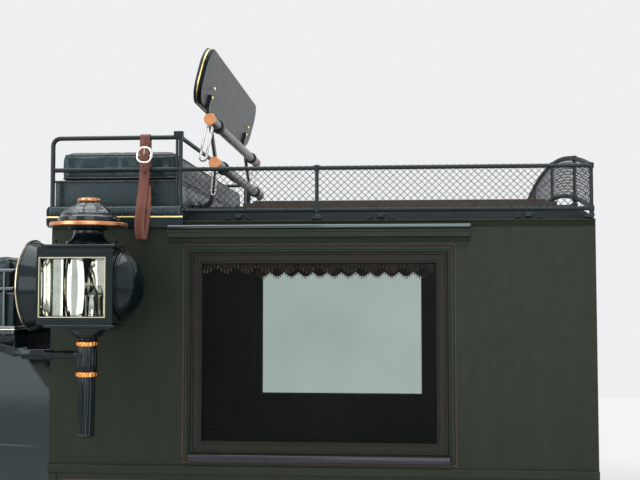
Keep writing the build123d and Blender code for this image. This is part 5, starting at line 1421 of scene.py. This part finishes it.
# axle collars' beads and clip bands
axle = {"hub": 0.093, "collar": 0.017, "clipHalf": 0.0215, "clips": (0.120, 0.150),
    "bead": [(0.0200, -0.030), (0.0265, -0.026), (0.0275, -0.012), (0.0290, -0.006),
    (0.0330, -0.001), (0.0336, 0.0005)]}
for tag, body, middleX, axleZ, track in (("rear", "carriage", 0.90435, 0.510, 1.460),
    ("front", "turning_carriage", -0.84565, 0.420, 1.290)):
    work = bmesh.new()
    end = track / 2 - axle["hub"] - axle["collar"]
    half = axle["clipHalf"]
    for side in (-1, 1):
        addTurned(work, axle["bead"], (middleX, side * end, axleZ), (0, side, 0), 40)
        for inset in axle["clips"]:
            y = side * (end - inset)
            addBlock(work, (middleX - half, y - 0.008, axleZ - half),
                (middleX + half, y + 0.008, axleZ + half), 0.0040)
    settle("axle_irons_" + tag, work, iron, 35, body)

# turntable bolts and the nut of the perch bolt
turntable = {"x": -0.84565, "reach": 0.242, "top": 0.8250, "nutZ": 0.6884, "bolts": 8,
    "bolt": [(0.0085, 0), (0.0085, 0.0050), (0.0060, 0.0066), (0.0, 0.0070)],
    "nut": [(0.0118, 0.0), (0.0210, 0.0004), (0.0210, 0.0110), (0.0180, 0.0130), (0.0, 0.0132)]}
work = bmesh.new()
for k in range(turntable["bolts"]):
    turn = 2 * pi * (k + 0.5) / turntable["bolts"]
    addTurned(work, turntable["bolt"], (turntable["x"] + turntable["reach"] * cos(turn),
        turntable["reach"] * sin(turn), turntable["top"]), upward, 6)
addTurned(work, turntable["nut"], (turntable["x"], 0, turntable["nutZ"]), downward, 6)
settle("turntable_bolts", work, iron, 35)

# splinter bar: bands, roller bolts, pole bolts and the flat irons under the futchells
splinter = {"x": -1.43385, "z": 0.775, "deep": 0.028, "tall": 0.022, "wrap": 0.0018,
    "bands": ((-0.150, 0.020), (0.150, 0.020), (-0.574, 0.012), (0.574, 0.012), (-0.500, 0.010),
    (0.500, 0.010)), "rollersAt": (-0.560, -0.110, 0.110, 0.560),
    "stud": [(0.0080, 0), (0.0072, 0.0032), (0.0040, 0.0048), (0.0, 0.0052)],
    "rollerFoot": [(0.0160, 0.0), (0.0225, 0.0006), (0.0235, 0.0030), (0.0225, 0.0054),
    (0.0165, 0.0075)],
    "rollerCap": [(0.0235, 0.0), (0.0225, 0.0020), (0.0140, 0.0042), (0.0090, 0.0050),
    (0.0086, 0.0090), (0.0, 0.0098)],
    "poleBolt": [(0.0074, 0), (0.0068, 0.0030), (0.0036, 0.0044), (0.0, 0.0048)],
    "stayBolt": [(0.0075, 0), (0.0068, 0.0030), (0.0036, 0.0044), (0.0, 0.0048)],
    "staysAt": (-1.360, -1.180, -0.980, -0.640), "stayY": 0.150}
work = bmesh.new()
x, z, wrap = splinter["x"], splinter["z"], splinter["wrap"]
deep, tall = splinter["deep"], splinter["tall"]
for y, reach in splinter["bands"]:
    for left, right, low, high in ((x - deep - wrap, x + deep + 0.0001, z - tall - wrap,
        z - tall - 0.0001), (x - deep - wrap, x + deep + 0.0001, z + tall + 0.0001,
        z + tall + wrap), (x - deep - 0.0020, x - deep - 0.0001, z - tall - wrap,
        z + tall + wrap)):
        addBlock(work, (left, y - reach, low), (right, y + reach, high), 0.0006, 1)
    addTurned(work, splinter["stud"], (x - deep - wrap, y, z), (-1, 0, 0), 16)
for y in splinter["rollersAt"]:
    addTurned(work, splinter["rollerFoot"], (x, y, 0.7970), upward, 32)
    addTurned(work, splinter["rollerCap"], (x, y, 0.8370), upward, 32)
for stepX in (-0.020, 0.020):
    for stepY in (-0.034, 0.034):
        addTurned(work, splinter["poleBolt"], (x - 0.002 + stepX, stepY, 0.8230), upward, 16)
for side in (-1, 1):
    y = side * splinter["stayY"]
    for stay in splinter["staysAt"]:
        addTurned(work, splinter["stayBolt"], (stay, y, 0.8000), upward, 16)
    addBlock(work, (-1.398, y - 0.016, 0.7450), (-0.930, y + 0.016, 0.7499), 0.0012, 1)
settle("splinter_irons", work, iron, 35, "turning_carriage")
print("springs and turntable done")

# rear steps: ribbed mats, rolled edges and bolts; x and height of each tread, shift of its bolts
treads = ((1.29185, 0.530, 0.010), (1.39185, 0.290, 0))
tread = {"ribs": 9, "from": 0.026, "pitch": 0.0185, "ribHalf": 0.0042, "half": 0.236,
    "edge": 0.1930, "edgeHalf": 0.252, "boltsAt": (0.050, 0.140), "boltY": 0.247,
    "bolt": [(0.0072, 0), (0.0062, 0.0020), (0.0030, 0.0030), (0.0, 0.0032)]}
work = bmesh.new()
for x, z, _ in treads:
    for k in range(tread["ribs"]):
        rib = x + tread["from"] + tread["pitch"] * k
        addBlock(work, (rib - tread["ribHalf"], -tread["half"], z),
            (rib + tread["ribHalf"], tread["half"], z + 0.0026), 0.0011, 1)
settle("step_mats", work, rubber, 35)
work = bmesh.new()
for x, z, shift in treads:
    edge, half = x + tread["edge"], tread["edgeHalf"]
    addRod(work, (edge, -half, z - 0.0060), (edge, half, z - 0.0060), 0.0066, 16)
    for y in (-tread["boltY"], tread["boltY"]):
        for step in tread["boltsAt"]:
            addTurned(work, tread["bolt"], (x + step + shift, y, z), upward, 14)
settle("step_edges", work, iron, 35)
print("steps done")

# rear door: handle, hinge caps and screws, mouldings
door = {"face": cabin["rear"], "grip": 1.29085, "gripZ": 1.337, "gripFrom": -0.2520,
    "gripTo": -0.1440, "roseY": -0.2420, "hingeY": 0.2825, "hinges": (0.960, 1.420, 1.860),
    "rose": [(0.0255, 0.0002), (0.0262, 0.0016), (0.0240, 0.0040), (0.0180, 0.0052),
    (0.0145, 0.0090), (0.0118, 0.0140), (0.0112, 0.0300)],
    "screw": [(0.0032, 0), (0.0028, 0.0008), (0.0, 0.0011)],
    "finial": [(0.0070, 0), (0.0076, 0.0012), (0.0060, 0.0030), (0.0034, 0.0050),
    (0.0040, 0.0075), (0.0, 0.0100)],
    # edges of the doorway's moulding: two uprights and the top
    "doorway": ((-0.3260, -0.3070, 0.812, 0.0055), (0.3295, 0.3485, 0.812, 0.0055),
    (-0.3260, 0.3485, 2.0040, 0.0056)), "doorwayTop": 2.0235}
work = bmesh.new()
grip = [(door["grip"], y, door["gripZ"]) for y in (door["gripFrom"], door["gripTo"])]
addRod(work, *grip, 0.0094, 20)
for end in reversed(grip):
    addBall(work, end, 0.0112, 20)
addTurned(work, door["rose"], (door["face"], door["roseY"], door["gripZ"]), rearward, 48)
settle("door_handle", work, brass, 40, "back_door")
for owner, leaf, tag in (("back_door", -1, "door"), ("carriage", 1, "wall")):
    work = bmesh.new()
    for height in door["hinges"]:
        knuckles = [height] if owner == "back_door" else [height - 0.0263, height + 0.0263]
        for z in knuckles:
            for stepY in (0.016, 0.034):
                for stepZ in (-0.007, 0.007):
                    addTurned(work, door["screw"], (door["face"] + 0.004,
                        door["hingeY"] + leaf * (0.0025 + stepY), z + stepZ), rearward, 10)
        if owner == "carriage":
            for sign in (-1, 1):
                addTurned(work, door["finial"], (door["face"] + 0.010, door["hingeY"],
                    height + sign * 0.0393), (0, 0, sign), 20)
    settle("hinge_screws_" + tag, work, brass, 35, owner)
work = bmesh.new()
endFrame(work, door["face"], 1, 0.222, 1.458, 1.932, 0.0215, 0.0055)
endFrame(work, door["face"], 1, 0.2085, 0.8920, 1.3880, 0.0082, 0.0045)
settle("door_mouldings", work, panelPaint, 30, "back_door")
work = bmesh.new()
endFrame(work, door["face"] - 0.008, 1, 0.182, 0.918, 1.362, 0.0028, 0.0004, 0.0)
endFrame(work, door["face"], 1, 0.262, 0.828, 1.972, 0.0028, 0.0004, 0.0)
settle("door_stripes", work, dullRed, 0, "back_door")
work = bmesh.new()
endFrame(work, door["face"] - 0.0105, 1, 0.2000, 1.480, 1.910, 0.0110, 0.0080, 0.0030)
settle("door_window_bead", work, sashWood, 30, "back_door")
work = bmesh.new()
for low, high, foot, thick in door["doorway"]:
    addBlock(work, (door["face"] + 0.0001, low, foot),
        (door["face"] + thick, high, door["doorwayTop"]), 0.0022)
settle("doorway_moulding", work, panelPaint, 35)


def turnUnder(z):
    # half width of the cabin below the belt, where the sides draw in to the sill
    arc = sagitta(cabin["belt"] - cabin["sill"], cabin["half"] - cabin["sillHalf"])
    return cabin["half"] - (arc - sqrt(arc ** 2 - (cabin["belt"] - z) ** 2))


# mouldings and lines of the lower panels, which follow the turn-under
lower = {"strips": ((-0.29315, -0.2690), (0.4710, 0.4977), (1.2377, 1.26185)),
    "foot": 0.8120, "top": 1.3985, "edge": 0.001, "thin": 0.0003, "thick": 0.0030,
    "panels": ((-0.2500, 0.4520), (0.5167, 1.2187)), "lineFrom": 0.845, "lineRun": 0.535,
    "line": (0.0028, 0.0003)}
work = bmesh.new()
for side in (-1, 1):
    for x0, x1 in lower["strips"]:
        rows = []
        for i in range(13):
            z = lower["foot"] + (lower["top"] - lower["foot"]) * i / 12
            rows.append([(x, side * (turnUnder(z) + lift), z) for x, lift in (
                (x0, lower["thin"]), (x0 + lower["edge"], lower["thick"]),
                (x1 - lower["edge"], lower["thick"]), (x1, lower["thin"]))])
        addSkin(work, rows, closed=False)
    # rocker rail along the bottom
    addBlock(work, (cabin["front"], side * 0.5880, 0.7850), (cabin["rear"], side * 0.5965, 0.8150),
        0.0030)
settle("lower_mouldings", work, panelPaint, 35)
work = bmesh.new()
for side in (-1, 1):
    for x0, x1 in lower["panels"]:
        heights = [lower["lineFrom"] + lower["lineRun"] * i / 10 for i in range(11)]
        lines = [[(x, side * (turnUnder(z) + 0.0003), z) for z in heights] for x in (x0, x1)]
        lines += [[(x0 + (x1 - x0) * i / 4, side * (turnUnder(z) + 0.0003), z) for i in range(5)]
            for z in (heights[0], heights[-1])]
        for line in lines:
            addStrip(work, line, lower["line"][0], (0, side, 0), lower["line"][1])
settle("lower_stripes", work, dullRed, 0)
print("door and mouldings done")

# front wall: moulding of the window and beads of its two sashes
work = bmesh.new()
endFrame(work, cabin["front"], -1, 0.4700, 1.4800, 2.0000, 0.0180, 0.0045)
settle("front_window_moulding", work, panelPaint, 30)
work = bmesh.new()
for side in (-1, 1):
    endFrame(work, cabin["front"] + 0.004, -1, 0.1985, 1.5260, 1.9540, 0.0085, 0.0026, 0.0008,
        side * 0.21975)
settle("front_window_bead", work, sashWood, 30)

# inside: a long squab on each bench, with tufts and buttons along its top
squab = {"x": (-0.2130, 1.1817), "y": (0.165, 0.545), "base": 1.2090, "edge": 0.004,
    "crown": 0.026, "round": 0.035, "tufts": 7, "tuftDeep": 0.012, "tuftWide": 0.028,
    "columns": 112, "rows": 22, "buttonZ": 1.2268,
    "button": [(0.0070, 0.0), (0.0064, 0.0022), (0.0036, 0.0040), (0.0, 0.0046)]}


def squabHeight(u, v, long, wide):
    # u and v run from 0 to 1 along the squab and across it
    height = squab["edge"]
    fullness = 1
    for part in (min(u, 1 - u) * long, min(v, 1 - v) * wide):
        near = min(1.0, part / squab["round"])
        fullness *= near * (2 - near)
    height += squab["crown"] * fullness ** 0.5
    for k in range(squab["tufts"]):
        away = hypot((u - (k + 0.5) / squab["tufts"]) * long, (v - 0.5) * wide)
        height -= squab["tuftDeep"] * exp(-((away / squab["tuftWide"]) ** 2)) * fullness
    return squab["base"] + height


for side, tag in sides:
    (x0, x1), (y0, y1) = squab["x"], squab["y"]
    long, wide = x1 - x0, y1 - y0
    work = bmesh.new()
    rings = []
    for i in range(squab["columns"] + 1):
        u = i / squab["columns"]
        across = [j / squab["rows"] for j in range(squab["rows"] + 1)]
        top = [(x0 + long * u, side * (y0 + wide * v), squabHeight(u, v, long, wide))
            for v in across]
        base = [(x, y, squab["base"]) for x, y, _ in reversed(top)]
        rings.append(top + base)
    addSkin(work, rings, capped=True)
    pad = settle("bench_squab_" + tag, work, benchLeather, 60)
    work = bmesh.new()
    for k in range(squab["tufts"]):
        addTurned(work, squab["button"], (x0 + long * (k + 0.5) / squab["tufts"],
            side * (y0 + y1) / 2, squab["buttonZ"]), upward, 16)
    settle("bench_buttons_" + tag, work, benchLeather)
print("inside done")

# spare bars: copper ends and trace links, and the bolts of the back rest; for the links
# x, height, drop, lean, half width and half thickness
bars = {"ends": ((0.14035, 2.445), (0.15635, 2.311)), "half": 0.500,
    "cap": [(0.0176, -0.0085), (0.0183, -0.0078), (0.0183, -0.0004), (0.0176, 0.0004),
    (0.0, 0.0007)], "links": ((0.1365, 2.4265, 0.098, -0.018, 0.0095, 0.0040),
    (0.1545, 2.2925, 0.074, -0.005, 0.0065, 0.0032)), "linkY": 0.4880,
    "bolt": [(0.0068, 0.0), (0.0066, 0.0022), (0.0040, 0.0034), (0.0, 0.0040)],
    "boltsAt": [(across, up) for across in (-0.360, 0.360) for up in (-0.050, -0.020)]}
work = bmesh.new()
for x, z in bars["ends"]:
    for side in (-1, 1):
        addTurned(work, bars["cap"], (x, side * bars["half"], z), (0, side, 0), 48)
settle("bar_end_caps", work, copper)
for number, (x, z, drop, lean, half, thick) in enumerate(bars["links"]):
    for side, tag in sides:
        link = []
        for middleX, middleZ, start in ((x + lean, z - drop, 0), (x, z - half, pi)):
            for i in range(13):
                turn = start + pi * i / 12
                link.append((middleX + half * cos(turn), side * bars["linkY"],
                    middleZ - half * sin(turn)))
        bentRod("trace_link_%d_%s" % (number, tag), link, thick, steel, 3, True)
work = bmesh.new()
for across, up in bars["boltsAt"]:
    spot = restMiddle + Vector((0, across, 0)) + restUp * up - restOut * 0.0078
    addTurned(work, bars["bolt"], spot, -restOut, 16)
settle("back_bolts", work, brass)
print("bars done")

# inside: painted ceiling boards, and the fringed pelmets of the windows on their rods
ceiling = {"boards": 16, "half": 0.615, "x": (-0.2600, 1.2290), "under": 0.0222,
    "edge": 0.0026, "deep": 0.0052, "chamfer": 0.0030}
pelmet = {"half": 0.3600, "top": 2.0400, "drop": 0.0400, "scallop": 0.0200, "count": 12,
    "y": 0.6145, "thick": 0.0008, "wave": 0.0016, "rows": 6, "tassels": 6, "tassel": 0.0095,
    "rodEnd": 0.012}
work = bmesh.new()
wide = 2 * ceiling["half"] / ceiling["boards"]
for number in range(ceiling["boards"]):
    left = wide * number - ceiling["half"]
    right = left + wide
    outline = ((left, 0), (left, ceiling["edge"]), (left + ceiling["chamfer"], ceiling["deep"]),
        (right - ceiling["chamfer"], ceiling["deep"]), (right, ceiling["edge"]), (right, 0))
    addSkin(work, [[(x, y, roofZ(y) - ceiling["under"] - deep) for y, deep in outline]
        for x in ceiling["x"]], capped=True)
settle("ceiling_boards", work, cream, 25)


def pelmetPoint(part):
    # along the pelmet, depth there and sway towards the inside; part runs from 0 to 1
    turn = pelmet["count"] * part
    deep = pelmet["drop"] + pelmet["scallop"] * sin(pi * (turn % 1.0))
    return cabinX + pelmet["half"] * (2 * part - 1), deep, pelmet["wave"] * sin(2 * pi * turn)


for side, tag in sides:
    work = bmesh.new()
    columns, rows = 12 * pelmet["count"], pelmet["rows"]
    strips = []
    area = 0.0
    for i in range(columns + 1):
        x, deep, sway = pelmetPoint(i / columns)
        area += deep * 2 * pelmet["half"] / columns * (0.5 if i in (0, columns) else 1)
        strips.append([(x, side * (pelmet["y"] - sway * j / rows),
            pelmet["top"] - deep * j / rows) for j in range(rows + 1)])
    addSkin(work, strips, closed=False)
    bmesh.ops.recalc_face_normals(work, faces=work.faces)
    bmesh.ops.solidify(work, geom=list(work.faces), thickness=pelmet["thick"])
    cloth = settle("pelmet_" + tag, work, pelmetCloth, 60)
    work = bmesh.new()
    count = pelmet["tassels"] * pelmet["count"]
    for i in range(count):
        x, deep, sway = pelmetPoint((i + 0.5) / count)
        y, low = side * (pelmet["y"] - sway), pelmet["top"] - deep
        addRod(work, (x, y, low + 0.001), (x, y, low - pelmet["tassel"]), 0.0018, 6, 0.0026)
    fringe = settle("pelmet_fringe_" + tag, work, gilt)
    work = bmesh.new()
    reach = pelmet["half"] + pelmet["rodEnd"]
    ends = [(cabinX + end * reach, side * pelmet["y"], pelmet["top"]) for end in (-1, 1)]
    addRod(work, *ends, 0.0042, 16)
    for end in ends:
        addBall(work, end, 0.0058, 14)
    settle("pelmet_rod_" + tag, work, brass)
print("ceiling and pelmets done")

# driver's seat: leather skirt with its piping, painted rim and gilt line
boxSeat = {"x": -0.6532, "half": (0.2075, 0.520, 0.022), "line": (0.2047, 0.5172, 0.0190),
    "lineZ": 1.8020, "skirtX": (-0.8387, -0.4677), "skirtY": 0.498, "skirt": (1.7858, 1.9090),
    "panels": 7, "piping": 1.9096,
    # inset and height of each edge of the rim
    "rim": ((0.0075, 1.7856), (0.0035, 1.7880), (0.0030, 1.8080), (0.0062, 1.8118),
    (0.0200, 1.8126))}
x0, x1 = boxSeat["skirtX"]
low, high = boxSeat["skirt"]
skirtY = boxSeat["skirtY"]
work = bmesh.new()
for side in (-1, 1):
    y = side * (skirtY + 0.0008)
    sidePanel(work, (x0, y, low), (x1, y, high), (0, side, 0), 0.0034)
for x, out in ((x0, -1), (x1, 1)):
    x += out * 0.0008
    wide = 2 * skirtY / boxSeat["panels"]
    for k in range(boxSeat["panels"]):
        y = wide * k - skirtY
        sidePanel(work, (x, y, low), (x, y + wide, high), (out, 0, 0), 0.0030, 10, 6)
settle("box_seat_leather", work, blackLeather, 60)
x0, x1, y = x0 - 0.002, x1 + 0.002, skirtY + 0.002
corners = [(a, b, boxSeat["piping"]) for a, b in ((x0, -y), (x1, -y), (x1, y), (x0, y))]
bentRod("box_seat_piping", corners, 0.0032, paintedSheenWelt, 2, True)
work = bmesh.new()
rings = []
for inset, z in boxSeat["rim"]:
    loop = roundedLoop(*[size - inset for size in boxSeat["half"]], 8)
    rings.append([(boxSeat["x"] + x, y, z) for x, y in loop])
addSkin(work, rings, capped=True)
settle("box_seat_rim", work, bootBlack, 35)
loop = [(boxSeat["x"] + x, y, boxSeat["lineZ"]) for x, y in roundedLoop(*boxSeat["line"], 6)]
bentRod("box_seat_line", loop, 0.0018, paleGilt, 1, True)


def throughArc(a, m, b, count=10):
    # points on the circle through three points (x, z)
    ax, az, bx, bz, cx, cz = *a, *m, *b
    d = 2 * (ax * (bz - cz) + bx * (cz - az) + cx * (az - bz))
    sa, sb, sc = ax * ax + az * az, bx * bx + bz * bz, cx * cx + cz * cz
    ox = (sa * (bz - cz) + sb * (cz - az) + sc * (az - bz)) / d
    oz = (sa * (cx - bx) + sb * (ax - cx) + sc * (bx - ax)) / d
    radius = hypot(ax - ox, az - oz)
    turns = [atan2(z - oz, x - ox) for x, z in (a, m, b)]
    # each turn within half a round of the one before it
    for i in (1, 2):
        turns[i] = turns[i - 1] + (turns[i] - turns[i - 1] + pi) % (2 * pi) - pi
    first, _, last = turns
    steps = [first + (last - first) * i / count for i in range(count + 1)]
    return [(ox + radius * cos(turn), oz + radius * sin(turn)) for turn in steps]


def bootLoop(inset):
    # outline of the boot's side panel, drawn in by inset
    k = inset
    line = [(-0.2934 - k, 0.880 + k)]
    line += throughArc((-0.2934 - k, 1.530 + 0.3 * k), (-0.3777 - 0.7 * k, 1.622 - 0.6 * k),
        (-0.4457 - k, 1.715 - 0.6 * k))
    line += [(-0.4457 - k, 1.745 - k)]
    line += throughArc((-0.8407 + k, 1.745 - k), (-0.8787 + k, 1.535),
        (-0.9556 + k, 1.320 - 0.2 * k))
    line += throughArc((-0.9556 + k, 0.970), (-0.9296 + 0.8 * k, 0.906 + 0.8 * k),
        (-0.8656, 0.880 + k), 6)
    return line


# boot: an edge round each side panel, and a bar across it; width and thickness of each
boot = {"y": 0.4400, "inset": 0.006, "edge": (0.0080, 0.0026), "bar": (0.0120, 0.0060),
    "barEnds": ((-0.2975, 1.4270), (-0.9200, 1.4530))}
work = bmesh.new()
for side in (-1, 1):
    outline = bootLoop(boot["inset"])
    for points, (wide, thick) in ((outline + outline[:1], boot["edge"]),
        (boot["barEnds"], boot["bar"])):
        spots = [(x, side * boot["y"], z) for x, z in points]
        addStrip(work, spots, wide, (0, side, 0), thick)
settle("boot_mouldings", work, bootBlack, 35)

# footboard with its ribbed mat; dash of leather with its binding and studs
foot = {"rear": (-0.9559, 1.290), "end": (-1.3559, 1.400), "ribs": 22, "ribHalf": 0.395,
    "rib": (0.0090, 0.0030)}
dash = {"low": (-1.3643, 1.396), "top": (-1.4243, 1.625), "half": 0.430, "from": 0.04,
    "binding": 0.0100, "face": 0.0083, "topStuds": (57, 0.405), "sideStuds": (12, 0.412),
    "stud": [(0.0030, 0.0), (0.0026, 0.0010), (0.0, 0.0016)]}
footRear = Vector((foot["rear"][0], 0, foot["rear"][1]))
slope = Vector((foot["end"][0], 0, foot["end"][1])) - footRear
normal = Vector((slope.z, 0, -slope.x)).normalized()
work = bmesh.new()
for i in range(foot["ribs"]):
    spot = footRear + slope * (0.07 + 0.86 * i / (foot["ribs"] - 1))
    ends = [spot + Vector((0, y, 0)) for y in (-foot["ribHalf"], foot["ribHalf"])]
    addStrip(work, ends, foot["rib"][0], normal, foot["rib"][1])
settle("foot_mat", work, rubber, 30)
dashLow = Vector((dash["low"][0], 0, dash["low"][1]))
run = Vector((dash["top"][0], 0, dash["top"][1])) - dashLow
half = Vector((0, dash["half"], 0))
low, high = dashLow + run * dash["from"], dashLow + run
bentRod("dash_binding", [low - half, high - half, high + half, low + half], dash["binding"],
    paintedSheenWelt, 4)
work = bmesh.new()
across = Vector((run.z, 0, -run.x)).normalized()
count, reach = dash["topStuds"]
places = [(0.92, reach * (2 * k / (count - 1) - 1)) for k in range(count)]
count, reach = dash["sideStuds"]
places += [(0.12 + 0.80 * k / count, y) for y in (-reach, reach) for k in range(count)]
for out in (-1, 1):
    for up, y in places:
        spot = dashLow + run * up + across * out * dash["face"] + Vector((0, y, 0))
        addTurned(work, dash["stud"], spot, across * out, 8)
settle("dash_studs", work, brass, 35)
print("driver's seat done")
